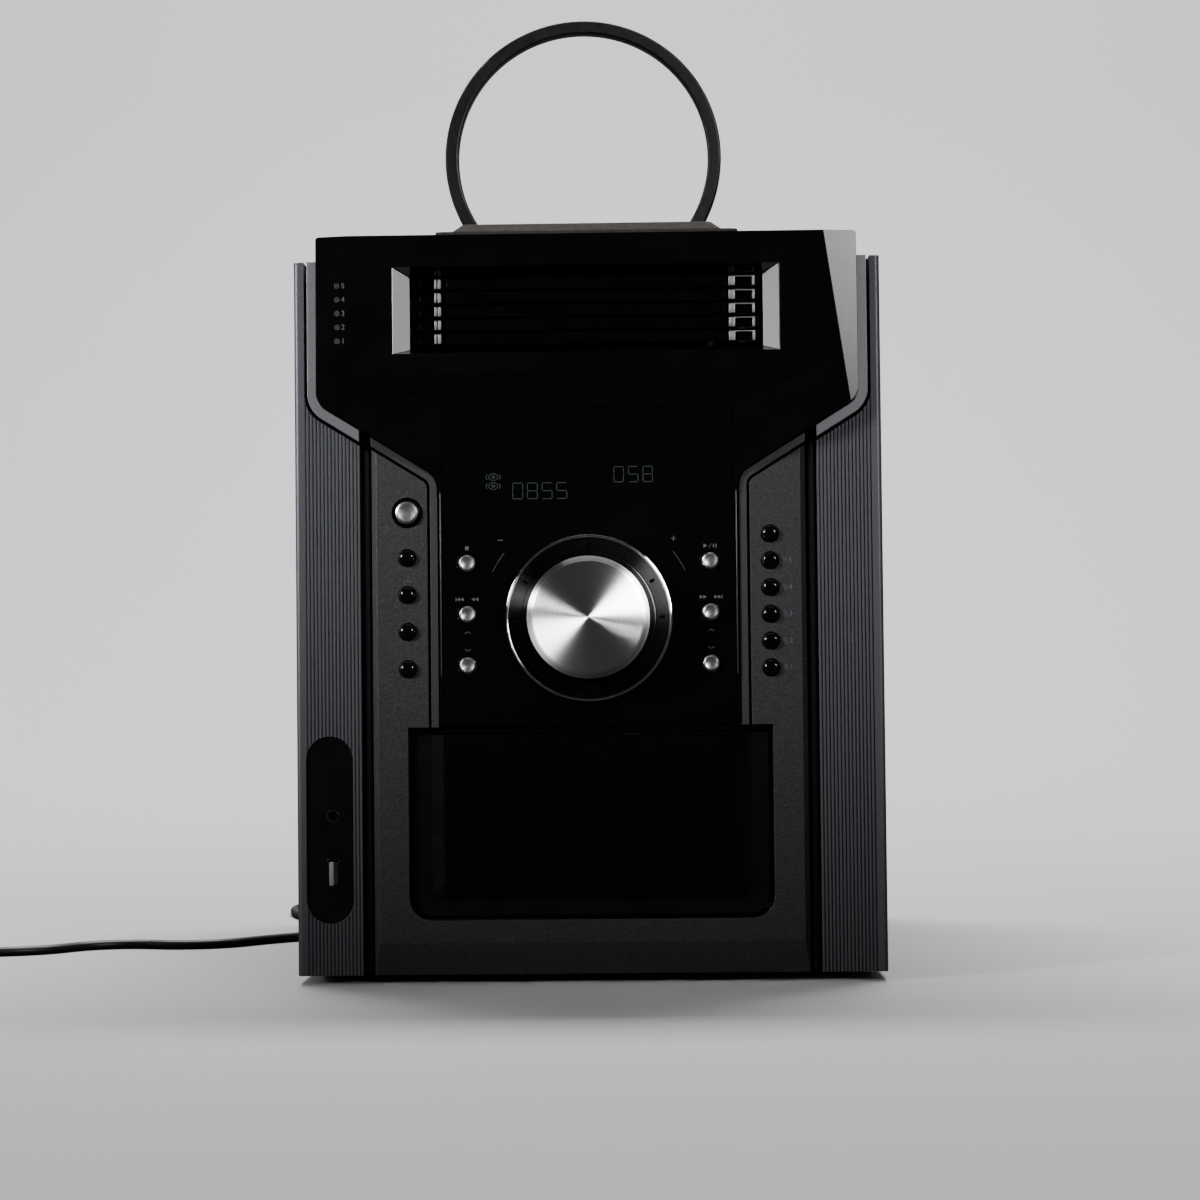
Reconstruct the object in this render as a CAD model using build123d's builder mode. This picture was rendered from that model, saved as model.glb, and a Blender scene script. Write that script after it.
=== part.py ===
# Five-disc mini system: a tall cabinet with a gloss fascia, five stacked disc trays, a big
# volume knob, rows of keys, a bottom-hinged cassette door, a loop aerial on top and a mains lead.
# Units are millimetres. X is to the right, Y to the back, Z up. The origin lies on the surface
# that the feet stand on, midway between the sides and midway between knob face and terminals.

import math
import os

from build123d import *

os.makedirs("parts", exist_ok=True)

# Overall sizes
cabinet_width = 260.0
cabinet_top = 320.0          # flat part of the top cover, and the tops of the pillars
fascia_top = 330.0
overall_depth = 366.0        # knob face to speaker terminals
knob_proud = 12.0            # knob face in front of the fascia's face
terminal_proud = 8.0
foot_height = 4.0
half_width = cabinet_width / 2
front_share = cabinet_width / 260.0  # widths on the front follow the cabinet's width

# Walls
sheet_wall = 1.0             # steel chassis
panel_wall = 1.5             # side panels and top cover
rear_wall = 2.0
mould_wall = 2.5             # front mouldings

# Depths behind the fascia's face
column_depth = 8.0
key_panel_depth = 9.0
band_depth = 8.8
pillar_depth = 10.0
frame_depth = 20.0
board_depth = 17.0
board_wall = 1.6

# Fascia contour
fascia_half = 119.3 * front_share
column_half = 66.3 * front_share
shoulder_outer_z = 256.7
shoulder_inner_z = 223.7
shoulder_outer_radius = 8.0
shoulder_inner_radius = 9.0
fascia_corner_radius = 1.5
fascia_low_z = 216.0         # lower tips of the fascia's shoulders
contour_gap = 0.5            # shadow gap between fascia and the satin bands
pillar_band_width = 4.2
key_band_width = 3.2
pillar_groove = 1.5
key_groove = 1.3

# Chin and side facets
chin_top_z = 268.7
chin_low_z = 254.1
chin_half = 98.5 * front_share
facet_top_width = 14.5       # side facet of the fascia, at the top
facet_low_width = 2.5        # and at the shoulder
facet_drop = 3.0

# Tray window
window_half = 85.3 * front_share
window_low_z = 277.5
window_high_z = 316.0
throat_half = 78.4 * front_share
throat_low_z = 280.3
throat_high_z = 312.5
window_flare_depth = 9.0
window_rim = 2.5

# Column panel
column_rim = 1.9             # from the column's side to its panel
panel_half = column_half - column_rim
panel_low_z = 114.0
column_wall = 2.5
seam = 0.3                   # open seam between mouldings
mould_gap = 0.5              # room round things that pass through the front frame

# Disc trays
tray_count = 5
tray_low_z = 285.0
tray_pitch = 6.1
tray_front_gap = 1.9         # at each end, inside the window's throat
tray_front_half = throat_half - tray_front_gap
tray_front_height = 4.9
tray_front_depth = 9.0       # behind the fascia's face
tray_front_wall = 5.0
tray_front_radius = 0.6
tray_plate_half = 64.0
tray_plate_wall = 2.8
tray_plate_drop = 2.0        # underside of the plate below the middle of the tray's front
tray_plate_end = 158.0       # depth at which the plate ends
tray_arm_end = 186.0         # depth at which its two arms end
tray_arm_width = 5.0
disc_diameter = 120.0
disc_room = 0.5              # round the disc
disc_seat_depth = 1.4
disc_centre_depth = 84.0
tray_slot_width = 36.0
pocket_width = 12.0
pocket_inset = 2.7           # from the tray's end
pocket_inner = tray_front_half - pocket_inset - pocket_width
pocket_height = 3.5
pocket_depth = 2.6
pocket_radius = 1.0

# Disc changer
rail_gap = 0.25
rail_wall = 2.5
rail_ledge_wall = 1.5
rail_ledge_cover = 3.5       # how far a ledge reaches under a tray
changer_low_z = 240.0
changer_top_z = 316.0
changer_rear_gap = 24.0      # in front of the rear panel
changer_floor_wall = 2.5
rail_ledge_end = 190.0
bridge_depth = 200.0         # strap that ties the two side walls together
bridge_length = 12.0
post_diameter = 4.0
post_x = 50.0
post_front_depth = 178.0
post_rear_gap = 18.0         # from the changer's back end
post_top_z = 304.0
running_clearance = 0.05     # radial, shafts and pins in bores
carriage_half = 57.0
carriage_start = 168.0
carriage_rear_gap = 8.0      # from the changer's back end
carriage_low_z = 262.0
carriage_wall = 8.0
spindle_depth = 222.0
spindle_pin_diameter = 3.0
spindle_motor_diameter = 20.0
spindle_motor_height = 8.0
spindle_pin_inset = 2.0      # pin's lower end above the motor's underside
turntable_diameter = 30.0
turntable_wall = 2.0
turntable_gap = 0.4          # above the carriage
disc_hub_diameter = 14.8
disc_hub_height = 6.0
disc_hub_taper = 12.0
sled_width = 38.0
sled_length = 24.0
sled_height = 9.0
sled_rod_diameter = 3.0
sled_rod_x = 15.0
sled_start = 242.0           # depth of the sled's front face, next to the turntable
sled_slot_rim = 8.0          # from the slot to the carriage's back edge
sled_side_gap = 1.0
sled_rod_seat = 3.0          # length of each rod's end inside the carriage
lens_diameter = 9.0
lens_height = 1.6

# Volume control
knob_z = 160.6
knob_diameter = 53.5
knob_face_diameter = 48.5
knob_chamfer_depth = 1.8
ring_diameter = 73.5
ring_proud = 4.0             # in front of the column panel
ring_lip = 1.2
dial_gap = 0.75              # between knob and dial
dial_notches = 12
dial_notch_length = 3.6
dial_notch_width = 1.1
dial_notch_depth = 3.8
dial_foot = 0.8              # dial's inner edge above the dish's floor
dial_step = 1.2              # dial's outer edge behind the lip
ring_flange = 3.0
ring_flange_wall = 1.5
bush_wall = 2.0
bush_length = 5.0
shaft_diameter = 6.0
knob_back_gap = 0.5
shaft_end_gap = 0.5

# Keys
key_travel = 1.0
key_clearance = 0.25         # radial
silver_key_x = 53.7 * front_share
silver_key_z = (185.4, 162.8, 140.2)
silver_key_diameter = 7.1
silver_key_proud = 1.6
silver_key_ring = 9.0
silver_ring_depth = 0.5
black_key_x = 80.2 * front_share
left_key_z = (188.0, 171.6, 155.3, 138.8)
right_key_z = (197.1, 185.3, 173.4, 161.6, 149.8, 138.0)
black_key_diameter = 7.5
black_key_proud = 2.4
power_button_z = 208.0
power_button_diameter = 9.8
power_button_ring = 13.7
power_button_proud = 2.6
power_ring_depth = 0.6
black_key_dome = 1.5
black_key_flat = 0.4         # flat middle of the dome, as a share of the radius
silver_key_dish = 0.5
silver_key_rim = 0.8         # start of the bevel, as a share of the radius
silver_key_bevel = 0.5
key_stem = 0.6               # stem's share of the radius
key_flange = 1.2             # rim behind the panel that holds a key in
key_flange_wall = 1.0
key_flange_gap = 0.3
key_end_depth = 14.2         # back end of every key, behind the fascia's face
switch_gap = 0.3

# Key panel and pillars
key_panel_half = 96.0 * front_share
key_panel_bevel = 2.3
key_panel_slope = 14.0       # height of the sloping strip along the bottom
key_panel_slope_drop = 2.0
pillar_inner = 101.2 * front_share
pillar_corner_radius = 2.0
rib_count = 15
rib_pitch = 1.62 * front_share
rib_groove = 0.66
rib_groove_depth = 0.8
first_groove_inset = 1.2
first_groove_x = pillar_inner + first_groove_inset

# Cassette door
door_recess_half = 80.5 * front_share
door_recess_low_z = 28.0
door_recess_high_z = 113.0
door_recess_radius = 10.0
door_side_gap = 2.2
door_half = door_recess_half - door_side_gap
door_low_z = 30.0
door_high_z = 109.6
door_radius = 9.0
door_depth = 12.0
door_wall = 2.5
door_plate_inset = 13.8
door_plate_half = door_half - door_plate_inset
door_plate_low_z = 42.0
door_plate_slope = 5.8
door_plate_radius = 4.0
door_base_radius = 6.0
door_lip_gap = 1.0           # between the door's top and the lip of the front frame
door_pin_end_gap = 0.5
door_hinge_z = 33.0
door_hinge_depth = 14.0
door_pin_diameter = 3.0
cassette_half_width = 51.5
cassette_room = 13.0         # depth of the holder behind the door
holder_wall = 1.5
holder_lip = 6.0
holder_low_z = 38.0
holder_high_z = 100.0
holder_shelf_gap = 3.0       # between the shelf and the holder's back lips
holder_swing_side = 6.0      # room round the holder where it swings through the frame
holder_swing_low = 4.0
holder_swing_high = 10.0

# Cassette mechanism
deck_half = 88.0 * front_share
deck_low_z = 24.0
deck_high_z = 118.0
deck_depth = 31.0
deck_wall = 2.5
deck_radius = 4.0
deck_spacer_diameter = 7.0
deck_spacer_inset_x = 6.0
deck_spacer_inset_z = 5.0
deck_block_width = 96.0
deck_block_height = 56.0
deck_block_depth = 22.0
deck_block_lift = 3.0        # above the middle of the deck
head_width = 30.0
head_height = 9.0
head_depth = 4.0
head_lift = 7.0              # above the holder's shelf
reel_spacing = 42.5
reel_z = 72.0
reel_diameter = 9.6
reel_pin_diameter = 2.0
reel_tip_depth = 25.0
reel_core_inset = 1.6
reel_fin_length = 2.0
reel_fin_width = 1.4
reel_fin_inset = 1.0
reel_flange = 1.5
reel_flange_wall = 1.5
reel_deck_gap = 0.3
reel_pin_inset = 1.0         # pin's tip behind the reel's tip
reel_cap = 0.7               # solid cap over the pin

# Sockets on the left pillar
socket_plate_x = -115.5 * front_share
socket_plate_z = 68.2
socket_plate_width = 20.8
socket_plate_height = 82.5
socket_plate_depth = 11.0
socket_inset = 1.3           # sockets are off the plate's middle
socket_x = socket_plate_x + socket_inset
headphone_z = 74.3
headphone_rim = 5.8
headphone_bore = 3.6         # takes a 3.5 mm plug
headphone_length = 15.0
usb_z = 48.9
usb_width = 4.5
usb_height = 12.0
usb_tongue_wall = 1.8
usb_tongue_height = 10.0
usb_shell = 0.6
usb_length = 14.0
socket_body_width = 12.0
socket_body_height = 16.0
plate_clearance = 0.15

# Top cover
hump_start = 24.0
hump_end = 200.0
hump_base_width = 140.0
hump_step_width = 136.0
hump_step_z = 335.5
hump_upper_width = 124.5
hump_top_width = 113.0
hump_top_z = 340.2
hump_step_set_back = 6.0
hump_top_set_back = 4.5
hump_wall = 2.0
hump_corner_radius = 3.0
hump_lean = 2.0              # how far the hump's end faces lean inwards
hump_edge_radius = 1.2

# Loop aerial
aerial_diameter = 145.4
aerial_band = 7.0
aerial_wall = 8.0
aerial_edge_radius = 1.2
aerial_groove = 3.6          # winding groove round the outside
aerial_groove_depth = 1.0
aerial_x = -6.0
aerial_clear_of_hump = 40.0  # from the hump's back to the middle of the ring
aerial_depth = hump_end + aerial_clear_of_hump
aerial_clearance = 16.0      # lowest point of the ring above the cover
stand_width = 56.0
stand_length = 46.0
stand_plate_wall = 3.0
stand_radius = 8.0
cradle_width = 34.0
cradle_wall = 3.0
cradle_height = 20.6
cradle_gap = 0.1

# Feet and chassis
foot_diameter = 22.0
foot_plug_diameter = 6.0
foot_plug_clearance = 0.1
foot_x = half_width - 26.0
foot_front_depth = 44.0
foot_rear_gap = 34.0         # from the cabinet's back to the rear feet
foot_bevel = 0.8
foot_plug_height = 2.5
flange_height = 12.0
standoff_diameter = 6.0
standoff_height = 7.0
standoff_inset = 5.0

# Boards inside
tube_width = 92.0
tube_height = 30.0
tube_z = 221.0
tube_gap = 0.8               # behind the column panel
board_post_diameter = 5.0
board_screw_z = (128.0, 198.0)
side_board_x = (75.0 * front_share, 92.5 * front_share)
side_board_z = (130.0, 215.0)
side_board_screw_z = (145.8, 181.5)
centre_board_inset = 3.4     # from the column panel's side
centre_board_half = panel_half - centre_board_inset
board_screw_inset = 9.0
board_screw_x = centre_board_half - board_screw_inset
centre_board_z = (122.0, 240.0)
main_board_x = (-14.0, half_width - 12.0)
main_board_start = 76.0
main_board_end_gap = 28.0     # in front of the rear panel
switch_size = 5.0
capacitor_places = ((10.0, 250.0), (40.0, 250.0), (10.0, 210.0))
capacitor_diameter = 22.0
capacitor_height = 35.0
heat_sink_x = half_width - 40.0
heat_sink_start = 175.0
heat_sink_wall = 4.0
heat_sink_height = 50.0
fin_count = 11
fin_pitch = 10.0
fin_width = 13.0
fin_wall = 1.6
transformer_x = 64.0 - half_width
transformer_depth = 262.0
transformer_plate_width = 92.0
transformer_plate_length = 40.0
transformer_plate_wall = 1.5
core_width = 72.0
core_length = 34.0
core_height = 60.0
winding_width = 44.0
winding_length = 58.0
winding_height = 38.0
winding_radius = 6.0

# Side panels
side_slot_depth = 250.0
side_slot_z = (70.0, 250.0)
side_slot_count = 12
side_slot_pitch = 9.0
side_slot_width = 3.0
side_slot_height = 36.0
side_screw_z = (100.0, 225.0)
side_flange_width = 12.0

# Rear panel
fan_x = half_width - 56.0
fan_z = 222.0
fan_size = 60.0
fan_bore = 56.0
fan_frame_wall = 18.0
fan_corner_radius = 4.0
fan_blade_diameter = 53.0
fan_blade_width = 12.0
fan_blade_wall = 1.2
fan_blade_lean = 1.3         # run along the axis for each unit round it
fan_blade_root = 1.5         # how deep a blade starts inside the hub
fan_hub_diameter = 24.0
fan_hub_length = 14.0
fan_blades = 7
fan_pin_diameter = 3.0
fan_pin_length = 14.0
fan_pin_bore = 12.0
fan_arm_width = 2.5
fan_arm_wall = 2.4
fan_arm_gap = 0.4
grille_slot = 3.0
grille_pitch = 6.0
grille_slots_each_side = 4
grille_rim = 1.5
screw_diameter = 3.0
screw_head = 6.0
screw_head_height = 1.8
screw_length = 5.5
screw_clearance = 0.1
screw_edge_radius = 0.8
screw_slot_length = 3.4
screw_slot_width = 0.8
screw_slot_depth = 0.9
low_screw_x = (18.0 - half_width, 0.0, half_width - 18.0)
top_screw_x = (30.0 - half_width, 0.0, half_width - 30.0)
terminal_cut_clearance = 0.2
terminal_inside = 4.0        # terminal bodies reach this far in front of the rear panel
terminal_body_proud = 3.0
terminal_x = half_width - 100.0
terminal_z = 62.0
terminal_width = 84.0
terminal_height = 30.0
aerial_block_x = half_width - 70.0
aerial_block_z = 150.0
aerial_block_width = 62.0
aerial_block_height = 20.0
lever_spacing = 19.0
lever_width = 12.0
lever_height = 9.0
lever_rise = 5.0
wire_hole_diameter = 4.0
wire_hole_drop = 8.0
wire_hole_depth = 6.0
line_socket_spacing = 14.0
line_socket_diameter = 8.4
line_socket_bore = 3.2
line_socket_bore_depth = 9.0
aerial_lever_spacing = 9.0
aerial_lever_width = 5.5
aerial_lever_height = 12.0
aerial_lever_proud = 3.0

# Mains lead
cord_diameter = 4.6
cord_exit_x = 22.0 - half_width
cord_exit_z = 30.0
relief_length = 28.0
relief_base_diameter = 11.0
relief_neck_diameter = 10.0
relief_flange = 1.0
relief_flange_wall = 2.0
relief_rim = 1.5
relief_rim_wall = 3.0
relief_tip_wall = 0.9
relief_groove_count = 4
relief_groove_start = 6.0
relief_groove_pitch = 5.0
relief_groove_width = 1.4
relief_web = 3.6             # solid strip left along the boot's sides
relief_core_radius = 2.9     # under the first groove
relief_core_step = 0.25      # smaller under each next groove
coil_gap = 0.5               # between neighbouring turns
coil_outer_radius = 33.8
coil_inward_half_turns = 6
coil_outward_half_turns = 5
coil_exit_radius = 44.0
plug_length = 32.0
plug_width = 35.0
plug_thickness = 13.7
plug_tail_length = 12.0
plug_tail_diameter = 7.0
plug_pin_diameter = 4.0
plug_pin_length = 19.0
plug_pin_spacing = 18.6
plug_tail_taper = 2.0
plug_tail_root = 4.0         # tail's length inside the body
plug_neck_half = 7.0
plug_shoulder = 14.0
plug_shoulder_radius = 6.0
plug_bevel = 1.5
floor_gap = 0.05

# Values worked out from the sizes above
fascia_y = -overall_depth / 2 + knob_proud
rear_y = overall_depth / 2 - terminal_proud
cabinet_depth = rear_y - fascia_y
frame_back = frame_depth + mould_wall
inner_half = half_width - panel_wall
cover_low_z = cabinet_top - panel_wall
chassis_top_z = foot_height + sheet_wall
rear_inner = cabinet_depth - rear_wall
changer_end = rear_inner - changer_rear_gap
post_rear_depth = changer_end - post_rear_gap
carriage_end = changer_end - carriage_rear_gap
sled_slot_end = carriage_end - sled_slot_rim
main_board_depths = (main_board_start, rear_inner - main_board_end_gap)
foot_rear_depth = cabinet_depth - foot_rear_gap
key_panel_grow = contour_gap + key_band_width + key_groove
pillar_grow = contour_gap + pillar_band_width + pillar_groove
key_panel_back = key_panel_depth + mould_wall
column_back = column_depth + column_wall
switch_depth = key_end_depth + key_travel + switch_gap
shoulder_slope = (shoulder_outer_z - shoulder_inner_z) / (fascia_half - column_half)
tray_levels = [tray_low_z + tray_pitch * i for i in range(tray_count)]


def facing(depth):
    """Plane that looks forward, at a depth behind the fascia's face."""
    return Plane.XZ.offset(-(fascia_y + depth))


def shield(grow):
    """Contour of the fascia and column, grown outwards, as a flat face."""
    with BuildSketch() as outline:
        with BuildLine():
            Polyline(
                (-fascia_half, fascia_top),
                (-fascia_half, shoulder_outer_z),
                (-column_half, shoulder_inner_z),
                (-column_half, foot_height),
                (column_half, foot_height),
                (column_half, shoulder_inner_z),
                (fascia_half, shoulder_outer_z),
                (fascia_half, fascia_top),
                close=True,
            )
        make_face()
        corners = outline.vertices()
        fillet([v for v in corners if v.Y == shoulder_outer_z], radius=shoulder_outer_radius)
        corners = outline.vertices()
        fillet([v for v in corners if v.Y == shoulder_inner_z], radius=shoulder_inner_radius)
        if grow != 0:
            offset(amount=grow, kind=Kind.INTERSECTION)
    return outline.sketch


def between(face, low_z, high_z):
    """The part of a front-view face that lies between two heights."""
    with BuildSketch() as strip:
        add(face)
        with Locations((0, (low_z + high_z) / 2)):
            Rectangle(2 * cabinet_width, high_z - low_z, mode=Mode.INTERSECT)
    return strip.sketch


def pill(centre, width, height):
    """Upright face with fully rounded ends, as seen from the front."""
    with BuildSketch() as outline:
        with Locations(centre):
            SlotOverall(height, width, rotation=90)
    return outline.sketch


fascia_contour = shield(0)
inner_contour = shield(-mould_wall)
band_inner_contour = shield(contour_gap)
pillar_band_contour = shield(contour_gap + pillar_band_width)
key_band_contour = shield(contour_gap + key_band_width)
key_panel_contour = shield(key_panel_grow)
pillar_contour = shield(pillar_grow)

# Gloss fascia: flat upper part, chin that slopes back to the column, flared tray window
with BuildPart() as upper_fascia:
    with BuildSketch(facing(0)):
        add(between(fascia_contour, fascia_low_z, fascia_top))
        with Locations((0, (chin_low_z + foot_height) / 2)):
            Rectangle(2 * (panel_half + seam), chin_low_z - foot_height, mode=Mode.SUBTRACT)
    extrude(amount=-frame_depth)
    top_corners = upper_fascia.edges().filter_by(Axis.Y).group_by(Axis.Z)[-1]
    fillet(top_corners, radius=fascia_corner_radius)
    # recess over the column, whose upper slope is the chin
    with BuildSketch(facing(0)):
        with Locations((0, (chin_top_z + foot_height) / 2)):
            Rectangle(2 * chin_half, chin_top_z - foot_height)
    with BuildSketch(facing(column_depth)):
        with Locations((0, (chin_low_z + foot_height) / 2)):
            Rectangle(2 * panel_half, chin_low_z - foot_height)
    loft(mode=Mode.SUBTRACT)
    # tray window
    window_middle_z = (window_low_z + window_high_z) / 2
    throat_middle_z = (throat_low_z + throat_high_z) / 2
    with BuildSketch(facing(0)):
        with Locations((0, window_middle_z)):
            Rectangle(2 * window_half, window_high_z - window_low_z)
    with BuildSketch(facing(window_flare_depth)):
        with Locations((0, throat_middle_z)):
            Rectangle(2 * throat_half, throat_high_z - throat_low_z)
    loft(mode=Mode.SUBTRACT)
    with BuildSketch(facing(window_flare_depth)):
        with Locations((0, throat_middle_z)):
            Rectangle(2 * throat_half, throat_high_z - throat_low_z)
    extrude(amount=-(frame_depth - window_flare_depth), mode=Mode.SUBTRACT)
    # side facets, wider towards the top
    for side in (-1, 1):
        with BuildSketch(Plane.XY.offset(fascia_top)):
            with BuildLine():
                Polyline(
                    (side * (fascia_half - facet_top_width), fascia_y),
                    (side * fascia_half, fascia_y),
                    (side * fascia_half, fascia_y + facet_drop),
                    close=True,
                )
            make_face()
        low_drop = facet_drop * facet_low_width / facet_top_width
        with BuildSketch(Plane.XY.offset(shoulder_outer_z - shoulder_outer_radius)):
            with BuildLine():
                Polyline(
                    (side * (fascia_half - facet_low_width), fascia_y),
                    (side * fascia_half, fascia_y),
                    (side * fascia_half, fascia_y + low_drop),
                    close=True,
                )
            make_face()
        loft(mode=Mode.SUBTRACT)
    # hollow back of the upper part, round the window's rim
    with BuildSketch(facing(frame_depth)):
        add(between(inner_contour, chin_top_z + mould_wall, fascia_top))
        with Locations((0, window_middle_z)):
            Rectangle(
                2 * (window_half + window_rim),
                window_high_z - window_low_z + 2 * window_rim,
                mode=Mode.SUBTRACT,
            )
    extrude(amount=frame_depth - facet_drop - mould_wall, mode=Mode.SUBTRACT)
upper_fascia.part.label = "upper_fascia"
export_step(upper_fascia.part, "parts/upper_fascia.step")

# Smoked column panel below the chin, with holes for the silver keys and the volume ring
panel_high_z = chin_low_z - seam
with BuildPart() as display_window:
    with BuildSketch(facing(column_depth)):
        with Locations((0, (panel_low_z + panel_high_z) / 2)):
            Rectangle(2 * panel_half, panel_high_z - panel_low_z)
        with Locations((0, knob_z)):
            Circle(ring_diameter / 2 + key_clearance, mode=Mode.SUBTRACT)
        with Locations(*[(s * silver_key_x, z) for s in (-1, 1) for z in silver_key_z]):
            Circle(silver_key_diameter / 2 + key_clearance, mode=Mode.SUBTRACT)
    extrude(amount=-column_wall)
    with BuildSketch(facing(column_depth)):
        with Locations(*[(s * silver_key_x, z) for s in (-1, 1) for z in silver_key_z]):
            Circle(silver_key_ring / 2)
    extrude(amount=-silver_ring_depth, mode=Mode.SUBTRACT)
display_window.part.label = "display_window"
export_step(display_window.part, "parts/display_window.step")

# Satin bands that follow the fascia's contour: two on the pillars, two on the key panel
with BuildPart() as contour_bands:
    with BuildSketch(facing(band_depth)):
        add(between(pillar_band_contour, foot_height, cabinet_top))
        add(band_inner_contour, mode=Mode.SUBTRACT)
        with Locations((0, cabinet_top / 2)):
            Rectangle(2 * pillar_inner, 2 * cabinet_top, mode=Mode.SUBTRACT)
    extrude(amount=-(frame_depth - band_depth))
    with BuildSketch(facing(band_depth)):
        add(between(key_band_contour, door_recess_high_z, cabinet_top))
        add(band_inner_contour, mode=Mode.SUBTRACT)
        for side in (-1, 1):
            with Locations((side * (key_panel_half + cabinet_width / 2), cabinet_top / 2)):
                Rectangle(cabinet_width, 2 * cabinet_top, mode=Mode.SUBTRACT)
    extrude(amount=-(frame_depth - band_depth))
contour_bands.part.label = "contour_bands"
export_step(contour_bands.part, "parts/contour_bands.step")

# U-shaped key panel round the column, open at the bottom middle for the cassette door
with BuildSketch() as door_recess:
    with Locations((0, (door_recess_low_z + door_recess_high_z) / 2)):
        Rectangle(2 * door_recess_half, door_recess_high_z - door_recess_low_z)
    fillet(door_recess.vertices().group_by(Axis.Y)[0], radius=door_recess_radius)
with BuildSketch() as key_panel_face:
    with Locations((0, (foot_height + cabinet_top) / 2)):
        Rectangle(2 * key_panel_half, cabinet_top - foot_height)
    add(between(key_panel_contour, door_recess_high_z, fascia_top), mode=Mode.SUBTRACT)
    add(door_recess.sketch, mode=Mode.SUBTRACT)
with BuildSketch() as key_panel_hollow:
    add(key_panel_face.sketch)
    offset(amount=-mould_wall, kind=Kind.INTERSECTION)
black_keys = [(-black_key_x, z) for z in left_key_z] + [(black_key_x, z) for z in right_key_z]
with BuildPart() as key_panel:
    with BuildSketch(facing(key_panel_depth)):
        add(key_panel_face.sketch)
    extrude(amount=-(frame_depth - key_panel_depth))
    upright_edges = key_panel.edges().group_by(Axis.Y)[0].filter_by(Axis.Z).group_by(Axis.X)
    chamfer(upright_edges[0] + upright_edges[-1], length=key_panel_bevel)
    low_edge = key_panel.edges().group_by(Axis.Y)[0].filter_by(Axis.X).sort_by(Axis.Z)[0]
    front_face = key_panel.faces().sort_by(Axis.Y)[0]
    chamfer(low_edge, length=key_panel_slope, length2=key_panel_slope_drop, reference=front_face)
    with BuildSketch(facing(frame_depth)):
        add(key_panel_hollow.sketch)
    extrude(amount=frame_depth - key_panel_back, mode=Mode.SUBTRACT)
    with BuildSketch(facing(key_panel_depth)):
        with Locations(*black_keys):
            Circle(black_key_diameter / 2 + key_clearance)
        with Locations((-black_key_x, power_button_z)):
            Circle(power_button_diameter / 2 + key_clearance)
    extrude(amount=-mould_wall, mode=Mode.SUBTRACT)
    with BuildSketch(facing(key_panel_depth)):
        with Locations((-black_key_x, power_button_z)):
            Circle(power_button_ring / 2)
    extrude(amount=-power_ring_depth, mode=Mode.SUBTRACT)
    # bores for the cassette door's hinge pins
    with BuildSketch(Plane.YZ.offset(mould_wall - key_panel_half)):
        with Locations((fascia_y + door_hinge_depth, door_hinge_z)):
            Circle(door_pin_diameter / 2 + running_clearance)
    extrude(amount=2 * (key_panel_half - mould_wall), mode=Mode.SUBTRACT)
key_panel.part.label = "key_panel"
export_step(key_panel.part, "parts/key_panel.step")

# Ribbed pillars, with a smooth outer column and grooved fronts
rib_grooves = [first_groove_x + rib_pitch * i for i in range(rib_count)]
socket_outline = pill((socket_plate_x, socket_plate_z), socket_plate_width, socket_plate_height)
for side, name in ((-1, "left_pillar"), (1, "right_pillar")):
    with BuildPart() as pillar:
        pillar_middle = side * (pillar_inner + half_width) / 2
        with BuildSketch(facing(pillar_depth)):
            with Locations((pillar_middle, (foot_height + cabinet_top) / 2)):
                Rectangle(half_width - pillar_inner, cabinet_top - foot_height)
            add(between(pillar_contour, door_recess_high_z, fascia_top), mode=Mode.SUBTRACT)
        extrude(amount=-(frame_depth - pillar_depth))
        upright_edges = pillar.edges().filter_by(Axis.Z).group_by(Axis.Y)[0].sort_by(Axis.X)
        fillet(upright_edges[-1] if side > 0 else upright_edges[0], radius=pillar_corner_radius)
        with BuildSketch(facing(pillar_depth)):
            with Locations(*[(side * x, (foot_height + shoulder_outer_z) / 2) for x in rib_grooves]):
                Rectangle(rib_groove, shoulder_outer_z + foot_height)
        extrude(amount=-rib_groove_depth, mode=Mode.SUBTRACT)
        # hollow back
        hollow_inner = pillar_inner + mould_wall
        hollow_outer = half_width - mould_wall
        hollow_low = foot_height + mould_wall
        hollow_high = shoulder_outer_z - (fascia_half - hollow_inner) * shoulder_slope
        hollow_high -= pillar_grow * math.hypot(1, shoulder_slope) + mould_wall
        with BuildSketch(facing(frame_depth)):
            with Locations((side * (hollow_inner + hollow_outer) / 2, (hollow_low + hollow_high) / 2)):
                Rectangle(hollow_outer - hollow_inner, hollow_high - hollow_low)
            if side < 0:
                with Locations((socket_plate_x, socket_plate_z)):
                    SlotOverall(
                        socket_plate_height + 2 * mould_wall,
                        socket_plate_width + 2 * mould_wall,
                        rotation=90,
                        mode=Mode.SUBTRACT,
                    )
        extrude(amount=frame_depth - pillar_depth - mould_wall, mode=Mode.SUBTRACT)
        if side < 0:
            with BuildSketch(facing(pillar_depth)):
                add(socket_outline)
            extrude(amount=-(frame_depth - pillar_depth), mode=Mode.SUBTRACT)
    pillar.part.label = name
    export_step(pillar.part, f"parts/{name}.step")

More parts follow.
